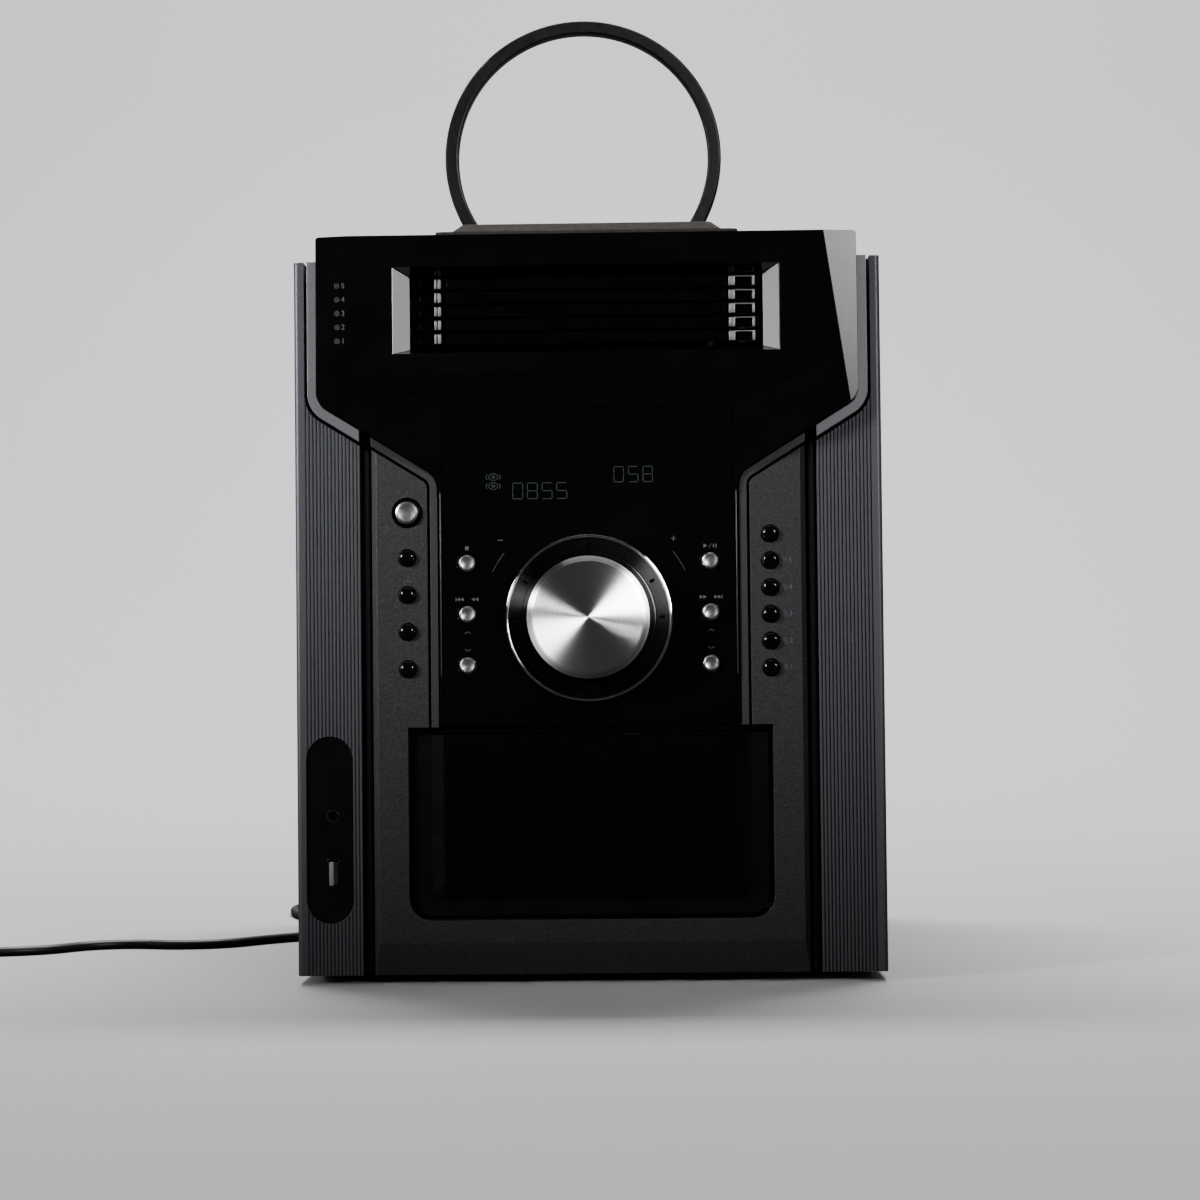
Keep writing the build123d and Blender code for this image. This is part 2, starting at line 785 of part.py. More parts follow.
# Gloss socket plate, with the headphone jack and the USB port behind it
plate_slot = socket_plate_height - 2 * plate_clearance, socket_plate_width - 2 * plate_clearance
with BuildPart() as socket_plate:
    with BuildSketch(facing(socket_plate_depth)):
        with Locations((socket_plate_x, socket_plate_z)):
            SlotOverall(*plate_slot, rotation=90)
        with Locations((socket_x, headphone_z)):
            Circle(headphone_rim / 2 + plate_clearance, mode=Mode.SUBTRACT)
        with Locations((socket_x, usb_z)):
            Rectangle(
                usb_width + 2 * (usb_shell + plate_clearance),
                usb_height + 2 * (usb_shell + plate_clearance),
                mode=Mode.SUBTRACT,
            )
    extrude(amount=-(frame_depth - socket_plate_depth))
    with BuildSketch(facing(frame_depth)):
        with Locations((socket_plate_x, socket_plate_z)):
            SlotOverall(plate_slot[0] - 2 * mould_wall, plate_slot[1] - 2 * mould_wall, rotation=90)
    extrude(amount=frame_depth - socket_plate_depth - mould_wall, mode=Mode.SUBTRACT)
socket_plate.part.label = "socket_plate"
export_step(socket_plate.part, "parts/socket_plate.step")

# Headphone jack and USB port
with BuildPart() as front_sockets:
    plate_back = socket_plate_depth + mould_wall
    # headphone jack: a round rim that reaches the plate's face, on a square body
    with BuildSketch(facing(socket_plate_depth)):
        with Locations((socket_x, headphone_z)):
            Circle(headphone_rim / 2)
    extrude(amount=-mould_wall)
    with BuildSketch(facing(plate_back)):
        with Locations((socket_x, headphone_z)):
            Rectangle(socket_body_width, socket_body_width)
    extrude(amount=-headphone_length)
    with BuildSketch(facing(socket_plate_depth)):
        with Locations((socket_x, headphone_z)):
            Circle(headphone_bore / 2)
    extrude(amount=-headphone_length, mode=Mode.SUBTRACT)
    # USB port: an upright slot with its tongue
    with BuildSketch(facing(socket_plate_depth)):
        with Locations((socket_x, usb_z)):
            Rectangle(usb_width + 2 * usb_shell, usb_height + 2 * usb_shell)
    extrude(amount=-mould_wall)
    with BuildSketch(facing(plate_back)):
        with Locations((socket_x, usb_z)):
            Rectangle(socket_body_width, socket_body_height)
    extrude(amount=-usb_length)
    with BuildSketch(facing(socket_plate_depth)):
        with Locations((socket_x, usb_z)):
            Rectangle(usb_width, usb_height)
        with Locations((socket_x + usb_width / 4, usb_z)):
            Rectangle(usb_tongue_wall, usb_tongue_height, mode=Mode.SUBTRACT)
    extrude(amount=-usb_length, mode=Mode.SUBTRACT)
front_sockets.part.label = "front_sockets"
export_step(front_sockets.part, "parts/front_sockets.step")

# Volume ring: bright lip, sloping notched dial, and the bush that carries the knob's shaft
knob_axis = Axis((0, 0, knob_z), (0, 1, 0))
ring_radius = ring_diameter / 2
dial_inner_radius = knob_diameter / 2 + dial_gap
ring_front = column_depth - ring_proud
bore_radius = shaft_diameter / 2 + running_clearance
flange_back = column_back + ring_flange_wall
lip_inner_radius = ring_radius - ring_lip
with BuildPart() as volume_ring:
    with BuildSketch(Plane.XY.offset(knob_z)):
        with BuildLine():
            Polyline(
                (ring_radius, fascia_y + ring_front),
                (ring_radius, fascia_y + column_back),
                (ring_radius + ring_flange, fascia_y + column_back),
                (ring_radius + ring_flange, fascia_y + flange_back),
                (shaft_diameter / 2 + bush_wall, fascia_y + flange_back),
                (shaft_diameter / 2 + bush_wall, fascia_y + column_back + bush_length),
                (bore_radius, fascia_y + column_back + bush_length),
                (bore_radius, fascia_y + column_back),
                (dial_inner_radius, fascia_y + column_back),
                (dial_inner_radius, fascia_y + column_back - dial_foot),
                (lip_inner_radius, fascia_y + ring_front + dial_step),
                (lip_inner_radius, fascia_y + ring_front),
                close=True,
            )
        make_face()
    revolve(axis=knob_axis)
    with BuildSketch(facing(ring_front)):
        with Locations((0, knob_z)):
            with PolarLocations((lip_inner_radius + dial_inner_radius) / 2, dial_notches):
                Rectangle(dial_notch_length, dial_notch_width)
    extrude(amount=-dial_notch_depth, mode=Mode.SUBTRACT)
volume_ring.part.label = "volume_ring"
export_step(volume_ring.part, "parts/volume_ring.step")

# Volume knob with its chamfered rim and shaft
knob_radius = knob_diameter / 2
with BuildPart() as volume_knob:
    with BuildSketch(Plane.XY.offset(knob_z)):
        with BuildLine():
            Polyline(
                (0, fascia_y - knob_proud),
                (knob_face_diameter / 2, fascia_y - knob_proud),
                (knob_radius, fascia_y - knob_proud + knob_chamfer_depth),
                (knob_radius, fascia_y + column_back - knob_back_gap),
                (shaft_diameter / 2, fascia_y + column_back - knob_back_gap),
                (shaft_diameter / 2, fascia_y + board_depth - shaft_end_gap),
                (0, fascia_y + board_depth - shaft_end_gap),
                close=True,
            )
        make_face()
    revolve(axis=knob_axis)
volume_knob.part.label = "volume_knob"
export_step(volume_knob.part, "parts/volume_knob.step")


def key_part(x, z, diameter, face, panel_back, dome):
    """Round key: a face that is domed (dome above 0) or dished, a holding rim and a stem."""
    radius = diameter / 2
    stem = radius * key_stem
    rim_start = fascia_y + panel_back + key_flange_gap
    rim_end = rim_start + key_flange_wall
    top = fascia_y + face
    with BuildPart() as key:
        with BuildSketch(Plane.XY.offset(z)):
            with BuildLine():
                if dome > 0:
                    middle, bend = (x, top), x + radius * black_key_flat
                    side = top + dome
                    Line(middle, (bend, top))
                    TangentArc((bend, top), (x + radius, side), tangent=(1, 0))
                else:
                    middle, bend = (x, top - dome), x + radius * silver_key_rim
                    side = top + silver_key_bevel
                    TangentArc(middle, (bend, top), tangent=(1, 0))
                    Line((bend, top), (x + radius, side))
                Polyline(
                    (x + radius, side),
                    (x + radius, rim_start),
                    (x + radius + key_flange, rim_start),
                    (x + radius + key_flange, rim_end),
                    (x + stem, rim_end),
                    (x + stem, fascia_y + key_end_depth),
                    (x, fascia_y + key_end_depth),
                    middle,
                )
            make_face()
        revolve(axis=Axis((x, 0, z), (0, 1, 0)))
    return key


key_list = [("power_button", -black_key_x, power_button_z, "power")]
left_names = ("display_key", "mode_key", "timer_key", "dimmer_key")
right_names = ("open_close_key", "disc_key_5", "disc_key_4", "disc_key_3", "disc_key_2", "disc_key_1")
key_list += [(n, -black_key_x, z, "black") for n, z in zip(left_names, left_key_z)]
key_list += [(n, black_key_x, z, "black") for n, z in zip(right_names, right_key_z)]
silver_left = ("stop_key", "skip_back_key", "tuning_key")
silver_right = ("play_key", "skip_forward_key", "preset_key")
key_list += [(n, -silver_key_x, z, "silver") for n, z in zip(silver_left, silver_key_z)]
key_list += [(n, silver_key_x, z, "silver") for n, z in zip(silver_right, silver_key_z)]
key_kinds = {
    "power": (
        power_button_diameter,
        key_panel_depth - power_button_proud,
        key_panel_back,
        -silver_key_dish,
    ),
    "black": (
        black_key_diameter,
        key_panel_depth - black_key_proud,
        key_panel_back,
        black_key_dome,
    ),
    "silver": (
        silver_key_diameter,
        column_depth - silver_key_proud,
        column_back,
        -silver_key_dish,
    ),
}
for name, x, z, kind in key_list:
    key = key_part(x, z, *key_kinds[kind])
    key.part.label = name
    export_step(key.part, f"parts/{name}.step")

# Front frame: the moulding behind the fascia that everything on the front is fixed to
deck_hole_half = cassette_half_width + holder_wall + holder_swing_side
deck_hole_low_z = holder_low_z - holder_swing_low
deck_hole_high_z = holder_high_z + holder_swing_high
column_wall_inner = panel_half + seam
board_posts = [(s * board_screw_x, z) for s in (-1, 1) for z in board_screw_z]
board_posts += [(s * sum(side_board_x) / 2, z) for s in (-1, 1) for z in side_board_screw_z]
with BuildPart() as front_frame:
    with BuildSketch(facing(frame_depth)):
        with Locations((0, (foot_height + cabinet_top) / 2)):
            Rectangle(cabinet_width, cabinet_top - foot_height)
        with Locations((0, (cabinet_top + fascia_top - mould_wall) / 2)):
            Rectangle(2 * (fascia_half - mould_wall), fascia_top - mould_wall - cabinet_top)
        with Locations((0, throat_middle_z)):
            Rectangle(
                2 * (throat_half + mould_gap),
                throat_high_z - throat_low_z + 2 * mould_gap,
                mode=Mode.SUBTRACT,
            )
        with Locations((0, (deck_hole_low_z + deck_hole_high_z) / 2)):
            Rectangle(2 * deck_hole_half, deck_hole_high_z - deck_hole_low_z, mode=Mode.SUBTRACT)
        with Locations((socket_x, (headphone_z + usb_z) / 2)):
            Rectangle(
                socket_body_width + 2 * mould_gap,
                headphone_z - usb_z + socket_body_height + 2 * mould_gap,
                mode=Mode.SUBTRACT,
            )
    extrude(amount=-mould_wall)
    # side walls of the column, a lip over the cassette door, and board posts
    column_wall_top = fascia_low_z - seam
    lip_low_z = door_high_z + door_lip_gap
    lip_high_z = panel_low_z - seam
    with BuildSketch(facing(frame_depth)):
        with Locations((0, (panel_low_z + column_wall_top) / 2)):
            Rectangle(2 * column_half, column_wall_top - panel_low_z)
            Rectangle(2 * column_wall_inner, column_wall_top - panel_low_z, mode=Mode.SUBTRACT)
    extrude(amount=frame_depth - column_depth - seam)
    with BuildSketch(facing(frame_depth)):
        with Locations((0, (lip_low_z + lip_high_z) / 2)):
            Rectangle(2 * column_half, lip_high_z - lip_low_z)
    extrude(amount=frame_depth - door_depth)
    with BuildSketch(facing(frame_depth)):
        with Locations(*board_posts):
            Circle(board_post_diameter / 2)
    extrude(amount=frame_depth - board_depth - board_wall)
front_frame.part.label = "front_frame"
export_step(front_frame.part, "parts/front_frame.step")

# Display tube behind the column panel
tube_front = column_back + tube_gap
with BuildPart() as display_tube:
    with BuildSketch(facing(tube_front)):
        with Locations((0, tube_z)):
            Rectangle(tube_width, tube_height)
    extrude(amount=-(board_depth - tube_front))
display_tube.part.label = "display_tube"
export_step(display_tube.part, "parts/display_tube.step")

# Circuit boards: three key boards with their switches, and the main board on the chassis
main_board_z = chassis_top_z + standoff_height
main_board_middle = sum(main_board_x) / 2, fascia_y + sum(main_board_depths) / 2
main_board_width = main_board_x[1] - main_board_x[0]
main_board_length = main_board_depths[1] - main_board_depths[0]
with BuildPart() as circuit_boards:
    with BuildSketch(facing(board_depth)):
        for side in (-1, 1):
            with Locations((side * sum(side_board_x) / 2, sum(side_board_z) / 2)):
                Rectangle(side_board_x[1] - side_board_x[0], side_board_z[1] - side_board_z[0])
        with Locations((0, sum(centre_board_z) / 2)):
            Rectangle(2 * centre_board_half, centre_board_z[1] - centre_board_z[0])
    extrude(amount=-board_wall)
    with BuildSketch(facing(board_depth)):
        for name, x, z, kind in key_list:
            with Locations((x, z)):
                Rectangle(switch_size, switch_size)
    extrude(amount=board_depth - switch_depth)
    with BuildSketch(Plane.XY.offset(main_board_z)):
        with Locations(main_board_middle):
            Rectangle(main_board_width, main_board_length)
    extrude(amount=board_wall)
    # smoothing capacitors and the heat sink
    with BuildSketch(Plane.XY.offset(main_board_z + board_wall)):
        with Locations(*[(x, fascia_y + depth) for x, depth in capacitor_places]):
            Circle(capacitor_diameter / 2)
    extrude(amount=capacitor_height)
    with BuildSketch(Plane.XY.offset(main_board_z + board_wall)):
        sink_length = fin_count * fin_pitch
        with Locations((heat_sink_x, fascia_y + heat_sink_start + sink_length / 2)):
            Rectangle(heat_sink_wall, sink_length)
            with Locations((fin_width / 2, 0)):
                with GridLocations(1, fin_pitch, 1, fin_count):
                    Rectangle(fin_width, fin_wall)
    extrude(amount=heat_sink_height)
circuit_boards.part.label = "circuit_boards"
export_step(circuit_boards.part, "parts/circuit_boards.step")

# Disc trays, numbered from the lowest
plate_start = tray_front_depth + tray_front_wall
arm_middle = fascia_y + (plate_start + tray_arm_end) / 2
for number, level in enumerate(tray_levels, start=1):
    with BuildPart() as tray:
        plate_low = level - tray_plate_drop
        plate_top = plate_low + tray_plate_wall
        with BuildSketch(facing(tray_front_depth)):
            with Locations((0, level)):
                RectangleRounded(2 * tray_front_half, tray_front_height, tray_front_radius)
        extrude(amount=-tray_front_wall)
        with BuildSketch(facing(tray_front_depth)) as pockets:
            for side in (-1, 1):
                with Locations((side * (pocket_inner + pocket_width / 2), level)):
                    Rectangle(pocket_width, pocket_height)
            fillet(pockets.vertices().group_by(Axis.Y)[0], radius=pocket_radius)
        extrude(amount=-pocket_depth, mode=Mode.SUBTRACT)
        with BuildSketch(Plane.XY.offset(plate_low)):
            with Locations((0, fascia_y + (plate_start + tray_plate_end) / 2)):
                Rectangle(2 * tray_plate_half, tray_plate_end - plate_start)
            for side in (-1, 1):
                with Locations((side * (tray_plate_half - tray_arm_width / 2), arm_middle)):
                    Rectangle(tray_arm_width, tray_arm_end - plate_start)
        extrude(amount=tray_plate_wall)
        with BuildSketch(Plane.XY.offset(plate_top)):
            with Locations((0, fascia_y + disc_centre_depth)):
                Circle(disc_diameter / 2 + disc_room)
        extrude(amount=-disc_seat_depth, mode=Mode.SUBTRACT)
        with BuildSketch(Plane.XY.offset(plate_low)):
            with Locations((0, fascia_y + disc_centre_depth)):
                Circle(tray_slot_width / 2)
            with Locations((0, fascia_y + (disc_centre_depth + tray_arm_end) / 2)):
                Rectangle(tray_slot_width, tray_arm_end - disc_centre_depth)
        extrude(amount=tray_plate_wall, mode=Mode.SUBTRACT)
    tray.part.label = f"disc_tray_{number}"
    export_step(tray.part, f"parts/disc_tray_{number}.step")

# Changer frame: side walls with a ledge under each tray, a floor and four guide posts
rail_inner = tray_plate_half + rail_gap
rail_outer = rail_inner + rail_wall
ledge_inner = rail_inner - rail_ledge_cover
posts = [(s * post_x, fascia_y + d) for s in (-1, 1) for d in (post_front_depth, post_rear_depth)]
with BuildPart() as changer_frame:
    with BuildSketch(facing(frame_back)):
        for side in (-1, 1):
            with Locations((side * (rail_inner + rail_outer) / 2, (changer_low_z + changer_top_z) / 2)):
                Rectangle(rail_wall, changer_top_z - changer_low_z)
        with Locations((0, changer_low_z + changer_floor_wall / 2)):
            Rectangle(2 * rail_outer, changer_floor_wall)
    extrude(amount=-(changer_end - frame_back))
    with BuildSketch(facing(frame_back)):
        for level in tray_levels:
            ledge_top = level - tray_plate_drop - rail_gap
            for side in (-1, 1):
                with Locations((side * (ledge_inner + rail_outer) / 2, ledge_top - rail_ledge_wall / 2)):
                    Rectangle(rail_outer - ledge_inner, rail_ledge_wall)
    extrude(amount=-(rail_ledge_end - frame_back))
    with BuildSketch(Plane.XY.offset(changer_low_z)):
        with Locations(*posts):
            Circle(post_diameter / 2)
    extrude(amount=post_top_z - changer_low_z)
    with BuildSketch(Plane.XY.offset(changer_top_z)):
        with Locations((0, fascia_y + bridge_depth)):
            Rectangle(2 * rail_outer, bridge_length)
    extrude(amount=-changer_floor_wall)
changer_frame.part.label = "changer_frame"
export_step(changer_frame.part, "parts/changer_frame.step")

# Lifting carriage with the spindle motor and the two rods of the laser sled
carriage_top_z = carriage_low_z + carriage_wall
rod_z = carriage_low_z + carriage_wall / 2
with BuildPart() as optical_carriage:
    with BuildSketch(Plane.XY.offset(carriage_low_z)):
        with Locations((0, fascia_y + (carriage_start + carriage_end) / 2)):
            Rectangle(2 * carriage_half, carriage_end - carriage_start)
        with Locations((0, fascia_y + (sled_start - sled_side_gap + sled_slot_end) / 2)):
            Rectangle(
                sled_width + 2 * sled_side_gap,
                sled_slot_end - sled_start + sled_side_gap,
                mode=Mode.SUBTRACT,
            )
        with Locations(*posts):
            Circle(post_diameter / 2 + running_clearance, mode=Mode.SUBTRACT)
    extrude(amount=carriage_wall)
    with BuildSketch(Plane.XY.offset(carriage_low_z)):
        with Locations((0, fascia_y + spindle_depth)):
            Circle(spindle_motor_diameter / 2)
    extrude(amount=-spindle_motor_height)
    with BuildSketch(Plane.XY.offset(carriage_low_z - spindle_motor_height)):
        with Locations((0, fascia_y + spindle_depth)):
            Circle(spindle_pin_diameter / 2 + running_clearance)
    extrude(amount=carriage_wall + spindle_motor_height, mode=Mode.SUBTRACT)
    with BuildSketch(facing(sled_start - sled_rod_seat)):
        with Locations((-sled_rod_x, rod_z), (sled_rod_x, rod_z)):
            Circle(sled_rod_diameter / 2)
    extrude(amount=-(sled_slot_end - sled_start + 2 * sled_rod_seat))
optical_carriage.part.label = "optical_carriage"
export_step(optical_carriage.part, "parts/optical_carriage.step")

# Spindle: pin, turntable and the tapered hub that centres a disc
pin_low_z = carriage_low_z - spindle_motor_height + spindle_pin_inset
turntable_z = carriage_top_z + turntable_gap
with BuildPart() as disc_spindle:
    with BuildSketch(Plane.XY.offset(pin_low_z)):
        with Locations((0, fascia_y + spindle_depth)):
            Circle(spindle_pin_diameter / 2)
    extrude(amount=turntable_z + turntable_wall - pin_low_z)
    with BuildSketch(Plane.XY.offset(turntable_z)):
        with Locations((0, fascia_y + spindle_depth)):
            Circle(turntable_diameter / 2)
    extrude(amount=turntable_wall)
    with BuildSketch(Plane.XY.offset(turntable_z + turntable_wall)):
        with Locations((0, fascia_y + spindle_depth)):
            Circle(disc_hub_diameter / 2)
    extrude(amount=disc_hub_height, taper=disc_hub_taper)
disc_spindle.part.label = "disc_spindle"
export_step(disc_spindle.part, "parts/disc_spindle.step")

# Laser sled on the carriage's two rods, with its lens on top
with BuildPart() as laser_sled:
    with BuildSketch(facing(sled_start)):
        with Locations((0, rod_z)):
            Rectangle(sled_width, sled_height)
        with Locations((-sled_rod_x, rod_z), (sled_rod_x, rod_z)):
            Circle(sled_rod_diameter / 2 + running_clearance, mode=Mode.SUBTRACT)
    extrude(amount=-sled_length)
    with BuildSketch(Plane.XY.offset(rod_z + sled_height / 2)):
        with Locations((0, fascia_y + sled_start + sled_length / 2)):
            Circle(lens_diameter / 2)
    extrude(amount=lens_height)
laser_sled.part.label = "laser_sled"
export_step(laser_sled.part, "parts/laser_sled.step")

# Cassette mechanism: metal deck plate on four spacers, reel pins, head and motor block
with BuildPart() as cassette_mechanism:
    deck_middle_z = (deck_low_z + deck_high_z) / 2
    deck_height = deck_high_z - deck_low_z
    with BuildSketch(facing(deck_depth)):
        with Locations((0, deck_middle_z)):
            RectangleRounded(2 * deck_half, deck_height, deck_radius)
    extrude(amount=-deck_wall)
    with BuildSketch(facing(deck_depth)):
        with Locations((0, deck_middle_z)):
            with GridLocations(
                2 * (deck_half - deck_spacer_inset_x), deck_height - 2 * deck_spacer_inset_z, 2, 2
            ):
                Circle(deck_spacer_diameter / 2)
    extrude(amount=deck_depth - frame_back)
    with BuildSketch(facing(deck_depth + deck_wall)):
        with Locations((0, deck_middle_z + deck_block_lift)):
            Rectangle(deck_block_width, deck_block_height)
    extrude(amount=-deck_block_depth)
    with BuildSketch(facing(deck_depth)):
        with Locations((-reel_spacing / 2, reel_z), (reel_spacing / 2, reel_z)):
            Circle(reel_pin_diameter / 2)
    extrude(amount=deck_depth - reel_tip_depth - reel_pin_inset)
    with BuildSketch(facing(deck_depth)):
        with Locations((0, holder_low_z + head_lift)):
            Rectangle(head_width, head_height)
    extrude(amount=head_depth)
cassette_mechanism.part.label = "cassette_mechanism"
export_step(cassette_mechanism.part, "parts/cassette_mechanism.step")

# Reel hubs with three driving fins each
reel_back = deck_depth - reel_deck_gap
reel_flange_front = reel_back - reel_flange_wall
for side, name in ((-1, "supply_reel"), (1, "take_up_reel")):
    with BuildPart() as reel:
        reel_x = side * reel_spacing / 2
        with BuildSketch(facing(reel_tip_depth)):
            with Locations((reel_x, reel_z)):
                Circle(reel_diameter / 2 - reel_core_inset)
                with PolarLocations(reel_diameter / 2 - reel_fin_inset, 3):
                    Rectangle(reel_fin_length, reel_fin_width)
        extrude(amount=-(reel_flange_front - reel_tip_depth))
        with BuildSketch(facing(reel_flange_front)):
            with Locations((reel_x, reel_z)):
                Circle(reel_diameter / 2 + reel_flange)
        extrude(amount=-reel_flange_wall)
        with BuildSketch(facing(reel_back)):
            with Locations((reel_x, reel_z)):
                Circle(reel_pin_diameter / 2 + running_clearance)
        extrude(amount=reel_back - reel_tip_depth - reel_cap, mode=Mode.SUBTRACT)
    reel.part.label = name
    export_step(reel.part, f"parts/{name}.step")

# Cassette door: flange, raised gloss plate, hinge pins and the cassette's holder
door_height = door_high_z - door_low_z
holder_middle_z = (holder_low_z + holder_high_z) / 2
with BuildPart() as cassette_door:
    with BuildSketch(facing(door_depth)) as door_flange:
        with Locations((0, (door_low_z + door_high_z) / 2)):
            Rectangle(2 * door_half, door_height)
        fillet(door_flange.vertices().group_by(Axis.Y)[0], radius=door_radius)
    extrude(amount=-door_wall)
    plate_base_z = door_plate_low_z - door_plate_slope
    with BuildSketch(facing(door_depth)) as plate_base:
        with Locations((0, (plate_base_z + door_high_z) / 2)):
            Rectangle(2 * (door_plate_half + door_plate_slope), door_high_z - plate_base_z)
        fillet(plate_base.vertices().group_by(Axis.Y)[0], radius=door_base_radius)
    with BuildSketch(facing(column_depth)) as plate_top:
        with Locations((0, (door_plate_low_z + door_high_z) / 2)):
            Rectangle(2 * door_plate_half, door_high_z - door_plate_low_z)
        fillet(plate_top.vertices().group_by(Axis.Y)[0], radius=door_plate_radius)
    loft()
    with BuildSketch(facing(door_depth + door_wall)):
        for side in (-1, 1):
            with Locations((side * (cassette_half_width + holder_wall / 2), holder_middle_z)):
                Rectangle(holder_wall, holder_high_z - holder_low_z)
    extrude(amount=-(cassette_room + holder_wall))
    with BuildSketch(facing(door_depth + door_wall + cassette_room)):
        for side in (-1, 1):
            with Locations((side * (cassette_half_width + (holder_wall - holder_lip) / 2), holder_middle_z)):
                Rectangle(holder_lip + holder_wall, holder_high_z - holder_low_z)
    extrude(amount=-holder_wall)
    with BuildSketch(facing(door_depth + door_wall)):
        with Locations((0, holder_low_z + holder_wall / 2)):
            Rectangle(2 * (cassette_half_width + holder_wall), holder_wall)
    extrude(amount=-(cassette_room - holder_shelf_gap))
    door_pin_start = door_half - door_radius
    for side, plane in ((-1, Plane.YZ.offset(-door_pin_start)), (1, Plane.YZ.offset(door_pin_start))):
        with BuildSketch(plane):
            with Locations((fascia_y + door_hinge_depth, door_hinge_z)):
                Circle(door_pin_diameter / 2)
        extrude(amount=side * (door_recess_half + mould_wall - door_pin_end_gap - door_pin_start))
cassette_door.part.label = "cassette_door"
export_step(cassette_door.part, "parts/cassette_door.step")

# Bottom chassis: steel tray with side and rear flanges, standoffs and holes for the feet
feet = [(s * foot_x, fascia_y + d) for s in (-1, 1) for d in (foot_front_depth, foot_rear_depth)]
chassis_depth = cabinet_depth - frame_back
chassis_middle = fascia_y + frame_back + chassis_depth / 2
with BuildPart() as bottom_chassis:
    with BuildSketch(Plane.XY.offset(foot_height)):
        with Locations((0, chassis_middle)):
            Rectangle(2 * inner_half, chassis_depth)
        with Locations(*feet):
            Circle(foot_plug_diameter / 2 + foot_plug_clearance, mode=Mode.SUBTRACT)
    extrude(amount=sheet_wall)
    with BuildSketch(Plane.XY.offset(chassis_top_z)):
        flange_depth = chassis_depth - rear_wall
        for side in (-1, 1):
            with Locations((side * (inner_half - sheet_wall / 2), chassis_middle - rear_wall / 2)):
                Rectangle(sheet_wall, flange_depth)
        with Locations((0, fascia_y + rear_inner - sheet_wall / 2)):
            Rectangle(2 * inner_half, sheet_wall)
    extrude(amount=flange_height)
    with BuildSketch(Plane.XY.offset(chassis_top_z)):
        with Locations(main_board_middle):
            with GridLocations(
                main_board_width - 2 * standoff_inset, main_board_length - 2 * standoff_inset, 2, 2
            ):
                Circle(standoff_diameter / 2)
    extrude(amount=standoff_height)
    low_screws = [(x, chassis_top_z + flange_height / 2) for x in low_screw_x]
    with BuildSketch(facing(cabinet_depth)):
        with Locations(*low_screws):
            Circle(screw_diameter / 2 + screw_clearance)
    extrude(amount=rear_wall + 2 * sheet_wall, mode=Mode.SUBTRACT)
bottom_chassis.part.label = "bottom_chassis"
export_step(bottom_chassis.part, "parts/bottom_chassis.step")

# Rubber feet, plugged into the chassis
with BuildPart() as rubber_feet:
    with BuildSketch(Plane.XY):
        with Locations(*feet):
            Circle(foot_diameter / 2)
    extrude(amount=foot_height)
    chamfer(rubber_feet.edges().group_by(Axis.Z)[0], length=foot_bevel)
    with BuildSketch(Plane.XY.offset(foot_height)):
        with Locations(*feet):
            Circle(foot_plug_diameter / 2)
    extrude(amount=foot_plug_height)
rubber_feet.part.label = "rubber_feet"
export_step(rubber_feet.part, "parts/rubber_feet.step")

# Side panels with a rear flange and two rows of air slots
for side, name in ((-1, "left_side_panel"), (1, "right_side_panel")):
    with BuildPart() as side_panel:
        with BuildSketch(Plane.YZ.offset(side * inner_half)):
            with Locations((chassis_middle, (foot_height + cover_low_z) / 2)):
                Rectangle(chassis_depth, cover_low_z - foot_height)
            with Locations(*[(fascia_y + side_slot_depth, z) for z in side_slot_z]):
                with GridLocations(side_slot_pitch, 1, side_slot_count, 1):
                    Rectangle(side_slot_width, side_slot_height, mode=Mode.SUBTRACT)
        extrude(amount=side * panel_wall)
        with BuildSketch(facing(rear_inner)):
            with Locations((side * (inner_half - side_flange_width / 2), (foot_height + cover_low_z) / 2)):
                Rectangle(side_flange_width, cover_low_z - foot_height - 4 * flange_height)
            with Locations(*[(side * (inner_half - side_flange_width / 2), z) for z in side_screw_z]):
                Circle(screw_diameter / 2 + screw_clearance, mode=Mode.SUBTRACT)
        extrude(amount=panel_wall)
    side_panel.part.label = name
    export_step(side_panel.part, f"parts/{name}.step")

